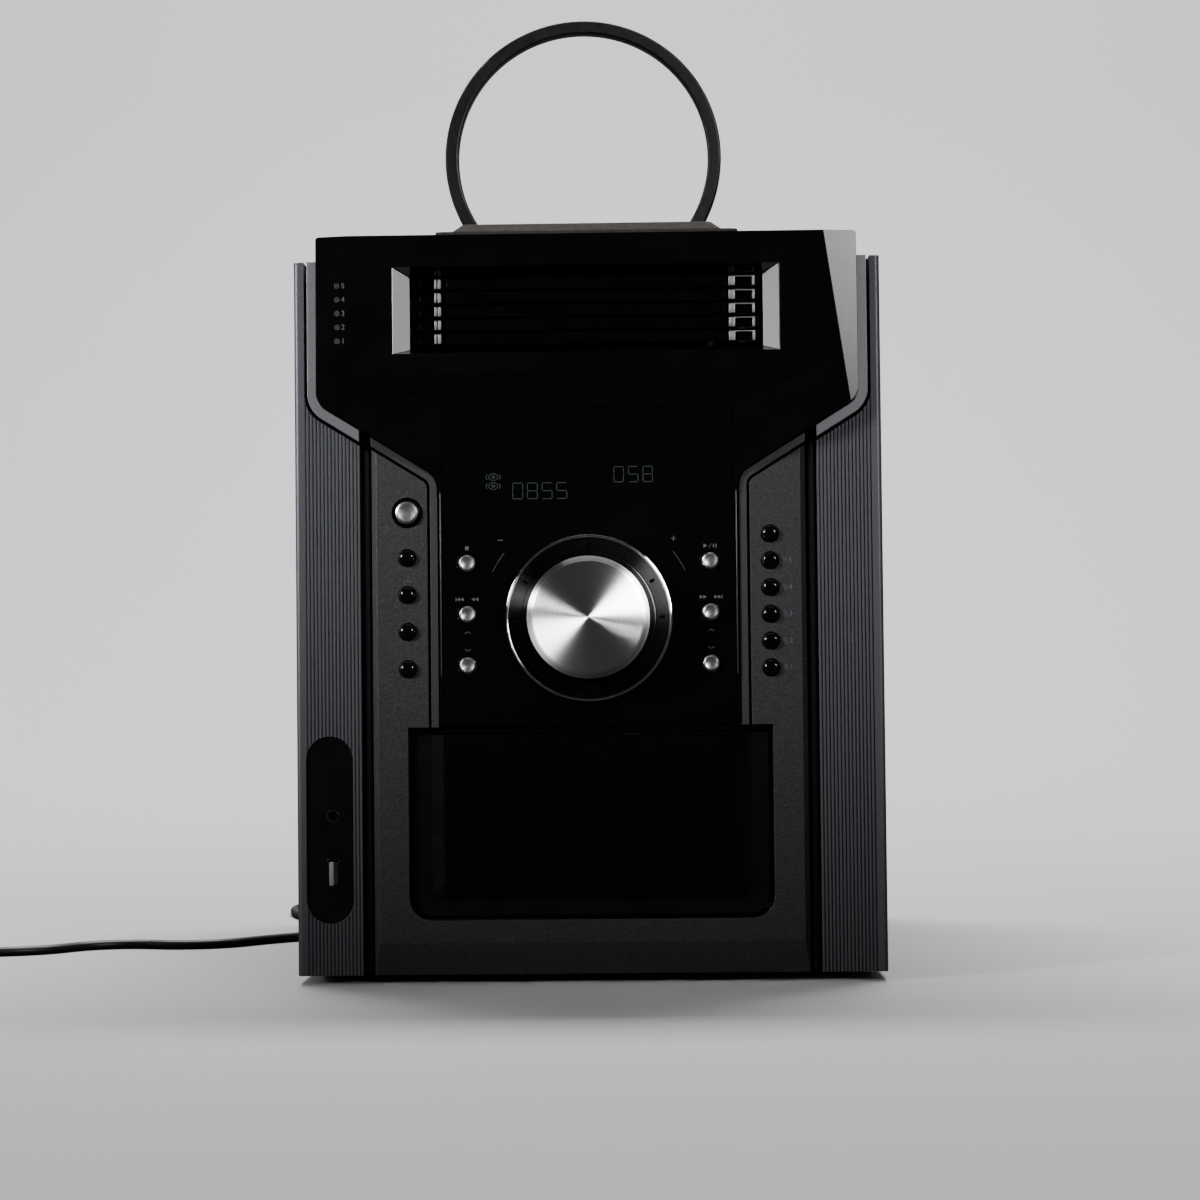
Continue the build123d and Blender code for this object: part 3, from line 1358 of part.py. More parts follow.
# Top cover with its two-step hump
hump_length = hump_end - hump_start
hump_middle = fascia_y + (hump_start + hump_end) / 2
step_length = hump_length - 2 * hump_lean
upper_length = hump_length - 2 * hump_step_set_back
top_length = upper_length - 2 * hump_top_set_back
top_screws = [(x, cover_low_z - flange_height / 2) for x in top_screw_x]
with BuildPart() as top_cover:
    with BuildSketch(Plane.XY.offset(cover_low_z)):
        with Locations((0, chassis_middle)):
            Rectangle(cabinet_width, chassis_depth)
    extrude(amount=panel_wall)
    with BuildSketch(Plane.XY.offset(cabinet_top)):
        with Locations((0, hump_middle)):
            RectangleRounded(hump_base_width, hump_length, hump_corner_radius)
    with BuildSketch(Plane.XY.offset(hump_step_z)):
        with Locations((0, hump_middle)):
            RectangleRounded(hump_step_width, step_length, hump_corner_radius)
    loft()
    with BuildSketch(Plane.XY.offset(hump_step_z)):
        with Locations((0, hump_middle)):
            RectangleRounded(hump_upper_width, upper_length, hump_corner_radius)
    with BuildSketch(Plane.XY.offset(hump_top_z)):
        with Locations((0, hump_middle)):
            RectangleRounded(hump_top_width, top_length, hump_corner_radius)
    loft()
    fillet(top_cover.faces().sort_by(Axis.Z)[-1].edges(), radius=hump_edge_radius)
    with BuildSketch(Plane.XY.offset(cover_low_z)):
        with Locations((0, hump_middle)):
            Rectangle(hump_step_width - 2 * hump_wall, step_length - 2 * hump_wall)
    extrude(amount=hump_step_z - cover_low_z - hump_wall, mode=Mode.SUBTRACT)
    with BuildSketch(Plane.XY.offset(hump_step_z - hump_wall)):
        with Locations((0, hump_middle)):
            Rectangle(hump_top_width - 2 * hump_wall, top_length - 2 * hump_wall)
    extrude(amount=hump_top_z - hump_step_z, mode=Mode.SUBTRACT)
    with BuildSketch(facing(rear_inner)):
        with Locations((0, cover_low_z - flange_height / 2)):
            Rectangle(2 * (inner_half - side_flange_width - mould_gap), flange_height)
        with Locations(*top_screws):
            Circle(screw_diameter / 2 + screw_clearance, mode=Mode.SUBTRACT)
    extrude(amount=panel_wall)
top_cover.part.label = "top_cover"
export_step(top_cover.part, "parts/top_cover.step")

# Rear panel: fan grille, cut-outs for the terminals, hole for the mains lead, screw holes
side_screws = [(s * (inner_half - side_flange_width / 2), z) for s in (-1, 1) for z in side_screw_z]
all_screws = low_screws + side_screws + top_screws
terminal_places = (
    (terminal_x, terminal_z, terminal_width, terminal_height),
    (aerial_block_x, aerial_block_z, aerial_block_width, aerial_block_height),
)
with BuildPart() as rear_panel:
    with BuildSketch(facing(rear_inner)):
        with Locations((0, (chassis_top_z + cover_low_z) / 2)):
            Rectangle(2 * inner_half, cover_low_z - chassis_top_z)
        with Locations(*all_screws):
            Circle(screw_diameter / 2 + screw_clearance, mode=Mode.SUBTRACT)
        with Locations((cord_exit_x, cord_exit_z)):
            Circle(relief_neck_diameter / 2 + screw_clearance, mode=Mode.SUBTRACT)
        for x, z, width, height in terminal_places:
            with Locations((x, z)):
                Rectangle(
                    width + 2 * terminal_cut_clearance,
                    height + 2 * terminal_cut_clearance,
                    mode=Mode.SUBTRACT,
                )
        slot_reach = fan_bore / 2 - grille_rim
        for i in range(-grille_slots_each_side, grille_slots_each_side + 1):
            slot_length = 2 * math.sqrt(slot_reach**2 - (i * grille_pitch) ** 2)
            with Locations((fan_x + i * grille_pitch, fan_z)):
                Rectangle(grille_slot, slot_length, mode=Mode.SUBTRACT)
    extrude(amount=-rear_wall)
rear_panel.part.label = "rear_panel"
export_step(rear_panel.part, "parts/rear_panel.step")

# Cross-head screws of the rear
with BuildPart() as cabinet_screws:
    with BuildSketch(facing(cabinet_depth)):
        with Locations(*all_screws):
            Circle(screw_head / 2)
    extrude(amount=-screw_head_height)
    fillet(cabinet_screws.edges().group_by(Axis.Y)[-1], radius=screw_edge_radius)
    with BuildSketch(facing(cabinet_depth + screw_head_height)):
        with Locations(*all_screws):
            Rectangle(screw_slot_length, screw_slot_width)
            Rectangle(screw_slot_width, screw_slot_length)
    extrude(amount=screw_slot_depth, mode=Mode.SUBTRACT)
    with BuildSketch(facing(cabinet_depth)):
        with Locations(*all_screws):
            Circle(screw_diameter / 2)
    extrude(amount=screw_length)
cabinet_screws.part.label = "cabinet_screws"
export_step(cabinet_screws.part, "parts/cabinet_screws.step")

# Rear terminals: four spring levers for the speakers, and the line and aerial sockets
terminal_face = cabinet_depth + terminal_body_proud
levers_proud = terminal_proud - terminal_body_proud
line_x = aerial_block_x + aerial_block_width / 4
line_sockets = [(line_x + s * line_socket_spacing / 2, aerial_block_z) for s in (-1, 1)]
with BuildPart() as rear_terminals:
    for x, z, width, height in terminal_places:
        with BuildSketch(facing(rear_inner - terminal_inside)):
            with Locations((x, z)):
                Rectangle(width, height)
        extrude(amount=-(terminal_inside + rear_wall + terminal_body_proud))
    with BuildSketch(facing(terminal_face)):
        with Locations((terminal_x, terminal_z + lever_rise)):
            with GridLocations(lever_spacing, 1, 4, 1):
                Rectangle(lever_width, lever_height)
    extrude(amount=-levers_proud)
    with BuildSketch(facing(terminal_face)):
        with Locations((terminal_x, terminal_z - wire_hole_drop)):
            with GridLocations(lever_spacing, 1, 4, 1):
                Circle(wire_hole_diameter / 2)
    extrude(amount=wire_hole_depth, mode=Mode.SUBTRACT)
    with BuildSketch(facing(terminal_face)):
        with Locations(*line_sockets):
            Circle(line_socket_diameter / 2)
    extrude(amount=-levers_proud)
    with BuildSketch(facing(cabinet_depth + terminal_proud)):
        with Locations(*line_sockets):
            Circle(line_socket_bore / 2)
    extrude(amount=line_socket_bore_depth, mode=Mode.SUBTRACT)
    with BuildSketch(facing(terminal_face)):
        with Locations((aerial_block_x - aerial_block_width / 4, aerial_block_z)):
            with GridLocations(aerial_lever_spacing, 1, 3, 1):
                Rectangle(aerial_lever_width, aerial_lever_height)
    extrude(amount=-aerial_lever_proud)
rear_terminals.part.label = "rear_terminals"
export_step(rear_terminals.part, "parts/rear_terminals.step")

# Cooling fan: frame with a four-armed motor mount, and a seven-bladed rotor on its pin
fan_front = rear_inner - fan_frame_wall
with BuildPart() as fan_frame:
    with BuildSketch(facing(fan_front)):
        with Locations((fan_x, fan_z)):
            RectangleRounded(fan_size, fan_size, fan_corner_radius)
            Circle(fan_bore / 2, mode=Mode.SUBTRACT)
    extrude(amount=-fan_frame_wall)
    with BuildSketch(facing(fan_front)):
        with Locations((fan_x, fan_z)):
            Circle(fan_hub_diameter / 2)
            Rectangle((fan_bore + fan_size) / 2, fan_arm_width)
            Rectangle(fan_arm_width, (fan_bore + fan_size) / 2)
    extrude(amount=-fan_arm_wall)
    with BuildSketch(facing(fan_front)):
        with Locations((fan_x, fan_z)):
            Circle(fan_pin_diameter / 2)
    extrude(amount=-fan_pin_length)
fan_frame.part.label = "fan_frame"
export_step(fan_frame.part, "parts/fan_frame.step")

rotor_front = fan_front + fan_arm_wall + fan_arm_gap
rotor_middle = Vector(fan_x, fascia_y + rotor_front + fan_hub_length / 2, fan_z)
with BuildPart() as fan_rotor:
    with BuildSketch(facing(rotor_front)):
        with Locations((fan_x, fan_z)):
            Circle(fan_hub_diameter / 2)
    extrude(amount=-fan_hub_length)
    with BuildSketch(facing(rotor_front)):
        with Locations((fan_x, fan_z)):
            Circle(fan_pin_diameter / 2 + running_clearance)
    extrude(amount=-fan_pin_bore, mode=Mode.SUBTRACT)
    for i in range(fan_blades):
        angle = 2 * math.pi * i / fan_blades
        outwards = Vector(math.cos(angle), 0, math.sin(angle))
        across = Vector(-math.sin(angle), fan_blade_lean, math.cos(angle))
        root = rotor_middle + outwards * (fan_hub_diameter / 2 - fan_blade_root)
        with BuildSketch(Plane(origin=root, x_dir=across, z_dir=outwards)):
            Rectangle(fan_blade_width, fan_blade_wall)
        extrude(amount=(fan_blade_diameter - fan_hub_diameter) / 2)
fan_rotor.part.label = "fan_rotor"
export_step(fan_rotor.part, "parts/fan_rotor.step")

# Power transformer on its mounting plate
transformer_place = transformer_x, fascia_y + transformer_depth
with BuildPart() as power_transformer:
    with BuildSketch(Plane.XY.offset(chassis_top_z)):
        with Locations(transformer_place):
            Rectangle(transformer_plate_width, transformer_plate_length)
    extrude(amount=transformer_plate_wall)
    with BuildSketch(Plane.XY.offset(chassis_top_z)):
        with Locations(transformer_place):
            Rectangle(core_width, core_length)
    extrude(amount=core_height)
    with BuildSketch(Plane.XY.offset(chassis_top_z + (core_height - winding_height) / 2)):
        with Locations(transformer_place):
            RectangleRounded(winding_width, winding_length, winding_radius)
    extrude(amount=winding_height)
power_transformer.part.label = "power_transformer"
export_step(power_transformer.part, "parts/power_transformer.step")

# Loop aerial and the stand that holds it on the cover
aerial_y = fascia_y + aerial_depth
aerial_z = cabinet_top + aerial_clearance + aerial_diameter / 2
aerial_outer = aerial_diameter / 2
with BuildPart() as loop_aerial:
    with BuildSketch(Plane.XY.offset(aerial_z)) as band_section:
        with Locations((aerial_x + aerial_outer - aerial_band / 2, aerial_y)):
            Rectangle(aerial_band, aerial_wall)
        fillet(band_section.vertices(), radius=aerial_edge_radius)
        with Locations((aerial_x + aerial_outer, aerial_y)):
            Rectangle(2 * aerial_groove_depth, aerial_groove, mode=Mode.SUBTRACT)
    revolve(axis=Axis((aerial_x, aerial_y, aerial_z), (0, 1, 0)))
loop_aerial.part.label = "loop_aerial"
export_step(loop_aerial.part, "parts/loop_aerial.step")

with BuildPart() as aerial_stand:
    with BuildSketch(Plane.XY.offset(cabinet_top)):
        with Locations((aerial_x, aerial_y)):
            RectangleRounded(stand_width, stand_length, stand_radius)
    extrude(amount=stand_plate_wall)
    with BuildSketch(Plane.XY.offset(cabinet_top + stand_plate_wall)):
        with Locations((aerial_x, aerial_y)):
            Rectangle(cradle_width, aerial_wall + 2 * cradle_wall)
    extrude(amount=cradle_height)
    with BuildSketch(Plane.XZ.offset(-aerial_y - aerial_wall / 2 - cradle_gap)):
        with Locations((aerial_x, aerial_z)):
            Circle(aerial_outer + cradle_gap)
    extrude(amount=aerial_wall + 2 * cradle_gap, mode=Mode.SUBTRACT)
aerial_stand.part.label = "aerial_stand"
export_step(aerial_stand.part, "parts/aerial_stand.step")

# Strain relief of the mains lead: tapered boot outside the rear panel, neck and inner rim
relief_base_radius = relief_base_diameter / 2
with BuildPart() as cord_relief:
    with BuildSketch(facing(cabinet_depth)):
        with Locations((cord_exit_x, cord_exit_z)):
            Circle(relief_base_radius + relief_flange)
    extrude(amount=-relief_flange_wall)
    with BuildSketch(facing(cabinet_depth)):
        with Locations((cord_exit_x, cord_exit_z)):
            Circle(relief_base_radius)
    with BuildSketch(facing(cabinet_depth + relief_length)):
        with Locations((cord_exit_x, cord_exit_z)):
            Circle(cord_diameter / 2 + relief_tip_wall)
    loft()
    for i in range(relief_groove_count):
        with BuildSketch(facing(cabinet_depth + relief_groove_start + relief_groove_pitch * i)):
            with Locations((cord_exit_x, cord_exit_z)):
                Circle(relief_base_radius)
                Rectangle(relief_base_diameter, relief_web, mode=Mode.SUBTRACT)
                Circle(relief_core_radius - relief_core_step * i, mode=Mode.SUBTRACT)
        extrude(amount=-relief_groove_width, mode=Mode.SUBTRACT)
    with BuildSketch(facing(cabinet_depth)):
        with Locations((cord_exit_x, cord_exit_z)):
            Circle(relief_neck_diameter / 2)
    extrude(amount=rear_wall)
    with BuildSketch(facing(rear_inner)):
        with Locations((cord_exit_x, cord_exit_z)):
            Circle(relief_neck_diameter / 2 + relief_rim)
    extrude(amount=relief_rim_wall)
cord_relief.part.label = "cord_relief"
export_step(cord_relief.part, "parts/cord_relief.step")

# Route of the mains lead, chosen by hand: out of the relief, down to the surface, round the
# cabinet's rear left corner and forward along its side, then away to the left in loose waves
cord_radius = cord_diameter / 2
floor_z = cord_radius + floor_gap
relief_end_y = rear_y + relief_length
side_x = -half_width
cord_points = [
    (cord_exit_x, relief_end_y, cord_exit_z),
    (cord_exit_x, relief_end_y + 19.0, cord_exit_z),
    (cord_exit_x - 2.0, relief_end_y + 36.0, 19.0),
    (cord_exit_x - 8.0, relief_end_y + 50.0, 7.5),
    (side_x + 3.0, relief_end_y + 61.0, floor_z),
    (side_x - 13.0, relief_end_y + 66.0, floor_z),
    (side_x - 32.0, relief_end_y + 60.0, floor_z),
    (side_x - 46.0, relief_end_y + 44.0, floor_z),
    (side_x - 52.0, relief_end_y + 21.0, floor_z),
    (side_x - 49.0, relief_end_y - 5.0, floor_z),
    (side_x - 40.0, relief_end_y - 33.0, floor_z),
    (side_x - 29.0, relief_end_y - 63.0, floor_z),
    (side_x - 20.0, 110.0, floor_z),
    (side_x - 16.0, 82.0, floor_z),
    (side_x - 21.0, 51.0, floor_z),
    (side_x - 40.0, 36.0, floor_z),
    (side_x - 58.0, 13.0, floor_z),
    (side_x - 82.0, 7.0, floor_z),
    (side_x - 106.0, 16.0, floor_z),
    (side_x - 129.0, 9.0, floor_z),
    (side_x - 144.0, -13.0, floor_z),
    (side_x - 168.0, -21.0, floor_z),
    (side_x - 192.0, -22.0, floor_z),
    (side_x - 208.0, -22.0, floor_z),
]


def bend_radii(points):
    """Largest arc at each corner that its two runs allow."""
    radii = []
    for before, corner, after in zip(points, points[1:], points[2:]):
        run_in = Vector(*corner) - Vector(*before)
        run_out = Vector(*after) - Vector(*corner)
        turn = math.radians(run_in.get_angle(run_out))
        radii.append(0.45 * min(run_in.length, run_out.length) / math.tan(turn / 2))
    return radii


cord_radii = bend_radii(cord_points)
with BuildPart() as mains_cord:
    with BuildLine() as cord_path:
        FilletPolyline(*cord_points, radius=cord_radii)
    with BuildSketch(cord_path.line ^ 0):
        Circle(cord_radius)
    sweep()
cord_area = math.pi * cord_radius**2
cord_length = cord_path.wire().length
print(f"cord length {cord_length:.1f} volume {mains_cord.part.volume:.1f}")
print(f"section times length {cord_area * cord_length:.1f}")
mains_cord.part.label = "mains_cord"
export_step(mains_cord.part, "parts/mains_cord.step")

# Coil of the length that is put away: a lower layer that winds inwards, half a turn that
# climbs, and an upper layer that winds outwards and leaves towards the plug
coil_pitch = cord_diameter + coil_gap
coil_start = Vector(*cord_points[-1])


def quarter_arc(start, heading, sideways, radius):
    """Three points of a quarter turn that starts along heading and turns to sideways."""
    centre = start + sideways * radius
    half = math.sqrt(0.5)
    middle = centre - sideways * (radius * half) + heading * (radius * half)
    return start, middle, centre + heading * radius


coil_arcs = []
place = coil_start + Vector(-cord_diameter, 0, 0)
heading = Vector(-1, 0, 0)
inward_radii = [coil_outer_radius - coil_pitch / 2 * k for k in range(coil_inward_half_turns)]
climb_radius = coil_outer_radius - coil_pitch / 2 * coil_inward_half_turns
outward_radii = [climb_radius + coil_pitch / 2 * (k + 1) for k in range(coil_outward_half_turns)]
turn_plan = [(r, 0) for r in inward_radii] + [(climb_radius, coil_pitch)]
turn_plan += [(r, 0) for r in outward_radii]
for radius, climb in turn_plan:
    across = Vector(-heading.Y, heading.X, 0) * (2 * radius) + Vector(0, 0, climb)
    span = across.length
    sideways = across * (1 / span)
    arc = quarter_arc(place, heading, sideways, span / 2)
    coil_arcs.append(arc)
    arc = quarter_arc(arc[2], sideways, heading * -1, span / 2)
    coil_arcs.append(arc)
    place = arc[2]
    heading = heading * -1
last_side = Vector(-heading.Y, heading.X, 0)
coil_arcs.append(quarter_arc(place, heading, last_side, coil_exit_radius))
coil_end = coil_arcs[-1][2]
plug_entry = coil_end + last_side * cord_diameter
with BuildPart() as mains_coil:
    with BuildLine() as coil_path:
        Line(coil_start, coil_start + Vector(-cord_diameter, 0, 0))
        for arc in coil_arcs:
            ThreePointArc(*arc)
        Line(coil_end, plug_entry)
    with BuildSketch(Plane(origin=coil_start, x_dir=(0, 1, 0), z_dir=(-1, 0, 0))):
        Circle(cord_radius)
    sweep(path=coil_path.wire())
coil_length = coil_path.wire().length
print(f"coil length {coil_length:.1f} volume {mains_coil.part.volume:.1f}")
print(f"section times length {cord_area * coil_length:.1f}")
print(f"whole lead {cord_length + coil_length:.1f}")

# Least gap of the coil to itself, measured on points along its middle line
coil_wire = coil_path.wire()
sample_count = 600
samples = [coil_wire.position_at(i / sample_count) for i in range(sample_count + 1)]
sample_step = coil_length / sample_count
skip = int(3 * cord_diameter / sample_step)
least = min(
    (samples[i] - samples[j]).length
    for i in range(0, sample_count, 2)
    for j in range(i + skip, sample_count, 2)
)
print(f"coil gap to itself {least - cord_diameter:.2f}")
mains_coil.part.label = "mains_coil"
export_step(mains_coil.part, "parts/mains_coil.step")

# Two-pin plug lying beside the coil: tail, flat body that widens towards its face, two pins
plug_middle_z = plug_thickness / 2 + floor_gap
plug_x = plug_entry.X
plug_tail_y = plug_entry.Y - plug_tail_length
plug_face_y = plug_tail_y - plug_length
with BuildPart() as mains_plug:
    with BuildSketch(Plane.XZ.offset(-plug_entry.Y)):
        with Locations((plug_x, plug_entry.Z)):
            Circle(plug_tail_diameter / 2)
    extrude(amount=plug_tail_length + plug_tail_root, taper=-plug_tail_taper)
    with BuildSketch(Plane.XY.offset(plug_middle_z - plug_thickness / 2)) as plug_outline:
        with BuildLine():
            Polyline(
                (plug_x - plug_neck_half, plug_tail_y),
                (plug_x + plug_neck_half, plug_tail_y),
                (plug_x + plug_width / 2, plug_tail_y - plug_shoulder),
                (plug_x + plug_width / 2, plug_face_y),
                (plug_x - plug_width / 2, plug_face_y),
                (plug_x - plug_width / 2, plug_tail_y - plug_shoulder),
                close=True,
            )
        make_face()
        fillet(plug_outline.vertices().sort_by(Axis.Y)[2:4], radius=plug_shoulder_radius)
    extrude(amount=plug_thickness)
    chamfer(mains_plug.faces().sort_by(Axis.Y)[0].edges(), length=plug_bevel)
    with BuildSketch(Plane.XZ.offset(-plug_face_y)):
        with Locations((plug_x, plug_middle_z)):
            with GridLocations(plug_pin_spacing, 1, 2, 1):
                Circle(plug_pin_diameter / 2)
    extrude(amount=plug_pin_length)
mains_plug.part.label = "mains_plug"
export_step(mains_plug.part, "parts/mains_plug.step")
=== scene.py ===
# Mini stereo system: materials, trims, printed symbols, mains lead and studio for the packed
# model of a tall mini system with a five-disc changer, a cassette deck and a loop aerial.
# Sizes are millimetres where no comment says metres; the frame itself is in metres.

import math

import bmesh
import bpy
from mathutils import Matrix, Vector


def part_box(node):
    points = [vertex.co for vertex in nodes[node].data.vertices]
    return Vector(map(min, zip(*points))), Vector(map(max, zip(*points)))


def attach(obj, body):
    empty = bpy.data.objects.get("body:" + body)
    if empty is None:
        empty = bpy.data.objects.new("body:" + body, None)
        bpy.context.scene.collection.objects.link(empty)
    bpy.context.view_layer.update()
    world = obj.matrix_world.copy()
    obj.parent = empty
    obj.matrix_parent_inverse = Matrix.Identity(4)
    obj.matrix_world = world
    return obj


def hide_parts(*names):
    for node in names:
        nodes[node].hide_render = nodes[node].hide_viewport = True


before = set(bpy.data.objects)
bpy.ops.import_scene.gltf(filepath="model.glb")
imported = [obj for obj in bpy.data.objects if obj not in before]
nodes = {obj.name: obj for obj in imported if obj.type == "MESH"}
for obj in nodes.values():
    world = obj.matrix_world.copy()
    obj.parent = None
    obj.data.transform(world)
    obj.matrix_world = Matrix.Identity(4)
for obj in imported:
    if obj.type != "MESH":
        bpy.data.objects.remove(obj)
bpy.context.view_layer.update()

bl_info = {
    "name": "Mini stereo system",
    "version": (1, 0, 0),
    "blender": (4, 5, 0),
    "location": "View3D > Sidebar > Mini system",
    "description": "Dresses a mini stereo system with disc trays, a volume knob and a cassette door",
    "category": "Object",
}

MM = 0.001
CABINET = "cabinet"

# Places on the front, in millimetres: X to the right, depth behind the fascia's face, Z up
FASCIA_Y = -171.0
COLUMN_DEPTH = 8.0
KEY_PANEL_DEPTH = 9.0
KNOB_Z = 160.6
BLACK_KEY_X = 80.2
POWER_Z = 208.0
DISC_KEY_Z = (185.3, 173.4, 161.6, 149.8, 138.0)
SILVER_KEY_X = 53.7
SILVER_KEY_Z = (185.4, 162.8)
TRAY_Z = tuple(285.0 + 6.1 * i for i in range(5))

# Volume knob and ring: depths of face, bevel, back and shaft end, then radii and depths
KNOB_FACE, KNOB_BEVEL, KNOB_BACK, SHAFT_END = -12.0, -10.2, 10.0, 16.5
SHAFT_RADIUS = 3.0
LIP = (35.5, 36.8, 3.85, 6.0)
BEAD_PROFILE = ((29.0, 8.15), (29.5, 8.05), (29.5, 9.6), (29.0, 9.6))

# Tray window: corners of the right lining, how its thickness runs, and the trays' trims, whose right edging
# is a painted highlight
LINING_CORNERS = ((85.2, 0.15, 277.6), (85.2, 0.15, 315.6), (78.5, 8.9, 312.2), (78.5, 8.9, 280.35))
LINING_INWARDS, LINING_FORWARDS = 0.28, 0.2
TRAY_BARS = ((-66.8, 0.45), (-65.1, 0.65), (63.6, 0.43), (65.1, 0.85))  # middle, half width
BAR_DEPTHS = (8.9, 11.7)
BAR_HALF_HEIGHT = 2.1
# painted highlight: bright silver edging at the right pocket only, where that end catches the light; the
# left pocket has none
RIM_HIGHLIGHT_BLOCKS = (((65.9, 8.85, 1.75), (74.7, 11.5, 2.2)), ((73.6, 8.85, -2.1), (74.7, 11.5, 1.8)))
TRIM_ROUNDING = 0.15

# Strips beside the column and rods beside the pillars
STRIP_X, STRIP_HALF = 65.35, 0.28
STRIP_DEPTHS = (7.5, 8.6)
STRIP_ENDS = (135.4, 216.6)
ROD_X, ROD_DEPTH, ROD_RADIUS = 98.6, 14.0, 2.35
ROD_FOOT, ROD_SHOULDER, ROD_CHAMFER = 5.0, 235.6, 0.5

# Front sockets, and the washer round the power button: radii and depths
SOCKET_X, JACK_Z, USB_Z = -114.2, 74.3, 48.9
JACK_RING = (1.85, 2.5, 10.75, 12.5)
POWER_WASHER = (5.1, 6.8, 9.35, 9.65)
USB_HALF_WIDTH, USB_HALF_HEIGHT, USB_WALL = 2.75, 6.5, 0.45
USB_DEPTHS = (10.9, 13.0)
TONGUE_LOW, TONGUE_HIGH = (-1.9, 10.95, -5.3), (0.1, 24.0, 5.3)

# Wire in the aerial's groove
WIRE_TURNS, WIRE_PITCH, WIRE_RADIUS, WIRE_INSET = 4, 0.86, 0.42, 0.58

# Printed marks: width of a plain stroke, rise of a mark over the middle of its silver key, and
# the built-in face's size for digits 1 high
INK_WIDTH, MARK_RISE, FACE_TO_DIGIT = 0.22, 6.6, 1.4

PIN_LENGTH = 19.0                # the mains plug's pins
PALE_TONE = "#cfcfcf"            # floor and backdrop, as the camera sees them
SHARP_ANGLE = math.radians(40)   # edges sharper than this stay sharp in the shading
BEVEL_ANGLE = math.radians(30)   # edges sharper than this are rounded
MERGE = 1e-6                     # vertices closer than this, in metres, become one


def at(x, depth, z):
    """Point of the front, from millimetres to the frame's metres."""
    return Vector((x * MM, (FASCIA_Y + depth) * MM, z * MM))


def linear(code):
    """Linear colour with alpha 1 from an sRGB hex code."""
    channels = [int(code[i : i + 2], 16) / 255 for i in (1, 3, 5)]
    return (*[c / 12.92 if c <= 0.04045 else ((c + 0.055) / 1.055) ** 2.4 for c in channels], 1.0)


def add_node(tree, kind, inputs=None, **settings):
    """Adds a shader node of a kind, sets its properties, and fills or links its inputs."""
    node = tree.nodes.new("ShaderNode" + kind)
    for name, value in settings.items():
        setattr(node, name, value)
    for name, value in (inputs or {}).items():
        if isinstance(value, bpy.types.NodeSocket):
            tree.links.new(value, node.inputs[name])
        else:
            node.inputs[name].default_value = value
    return node


def new_material(name, **sockets):
    """Material with an output and a Principled shader whose sockets hold the given values."""
    material = bpy.data.materials.new(name)
    material.use_nodes = True
    tree = material.node_tree
    tree.nodes.clear()
    shader = add_node(tree, "BsdfPrincipled")
    for socket, value in sockets.items():
        shader.inputs[socket.replace("_", " ").title().replace("Ior", "IOR")].default_value = value
    add_node(tree, "OutputMaterial", {"Surface": shader.outputs["BSDF"]})
    return material, tree, shader


def place_in_mm(tree, scale=(1000.0, 1000.0, 1000.0)):
    """Object coordinates counted in millimetres, stretched where a grain runs one way."""
    where = add_node(tree, "TexCoord")
    spot = {"Vector": where.outputs["Object"], "Scale": scale}
    return add_node(tree, "Mapping", spot).outputs["Vector"]


def patches(tree, size, detail, vector=None):
    """Factor that drifts over patches of a size in millimetres."""
    inputs = {"Vector": vector or place_in_mm(tree), "Scale": 1 / size, "Detail": detail}
    return add_node(tree, "TexNoise", inputs).outputs["Fac"]


def two_tones(tree, shader, factor, dark, light, start=0.0, end=1.0):
    """Colours the shader along a ramp between two tones."""
    ramp = add_node(tree, "ValToRGB", {"Fac": factor})
    stops = ramp.color_ramp.elements
    for i, place, code in ((0, start, dark), (1, end, light)):
        stops[i].position = place
        stops[i].color = linear(code)
    tree.links.new(ramp.outputs["Color"], shader.inputs["Base Color"])


def mottled(tree, shader, dark, light, size, detail=2.0, vector=None):
    """Colour that drifts between two tones over patches of a size in millimetres."""
    two_tones(tree, shader, patches(tree, size, detail, vector), dark, light, 0.35, 0.65)


def uneven_gloss(tree, shader, low, high, size, vector=None):
    """Roughness that varies between two values over patches of a size in millimetres."""
    factor = patches(tree, size, 3.0, vector)
    inputs = {"Value": factor, "From Min": 0.3, "From Max": 0.7, "To Min": low, "To Max": high}
    spread = add_node(tree, "MapRange", inputs)
    tree.links.new(spread.outputs["Result"], shader.inputs["Roughness"])


def relief(tree, shader, height, depth, edge=0.25):
    """Bump from a height output, depth in millimetres, over edges rounded by a radius."""
    rounded = add_node(tree, "Bevel", {"Radius": edge * MM}, samples=4)
    bump = add_node(
        tree,
        "Bump",
        {"Height": height, "Distance": depth * MM, "Strength": 1.0, "Normal": rounded.outputs["Normal"]},
    )
    tree.links.new(bump.outputs["Normal"], shader.inputs["Normal"])


def grain(tree, shader, spacing, depth, edge=0.25, detail=2.0, vector=None):
    """Irregular surface grain with a spacing and a depth in millimetres."""
    relief(tree, shader, patches(tree, spacing, detail, vector), depth, edge)


def zone(tree, low, high):
    """Factor that is 1 inside a box of the object's own millimetres and 0 outside it."""
    where = add_node(tree, "SeparateXYZ", {"Vector": place_in_mm(tree)})
    inside = None
    for axis, start, end in zip("XYZ", low, high):
        span = {0: where.outputs[axis], 1: (start + end) / 2, 2: (end - start) / 2}
        near = add_node(tree, "Math", span, operation="COMPARE").outputs[0]
        if inside is None:
            inside = near
        else:
            both = {0: inside, 1: near}
            inside = add_node(tree, "Math", both, operation="MULTIPLY").outputs[0]
    return inside


def recolour(tree, shader, mask, code, metallic=None):
    """Gives the places of a mask another colour, and where asked another metallic value."""
    before = shader.inputs["Base Color"].links[0].from_socket
    tones = {"Factor": mask, 6: before, 7: linear(code)}
    mix = add_node(tree, "Mix", tones, data_type="RGBA")
    tree.links.new(mix.outputs[2], shader.inputs["Base Color"])
    if metallic is not None:
        ends = {"Value": mask, "To Min": shader.inputs["Metallic"].default_value, "To Max": metallic}
        spread = add_node(tree, "MapRange", ends)
        tree.links.new(spread.outputs["Result"], shader.inputs["Metallic"])


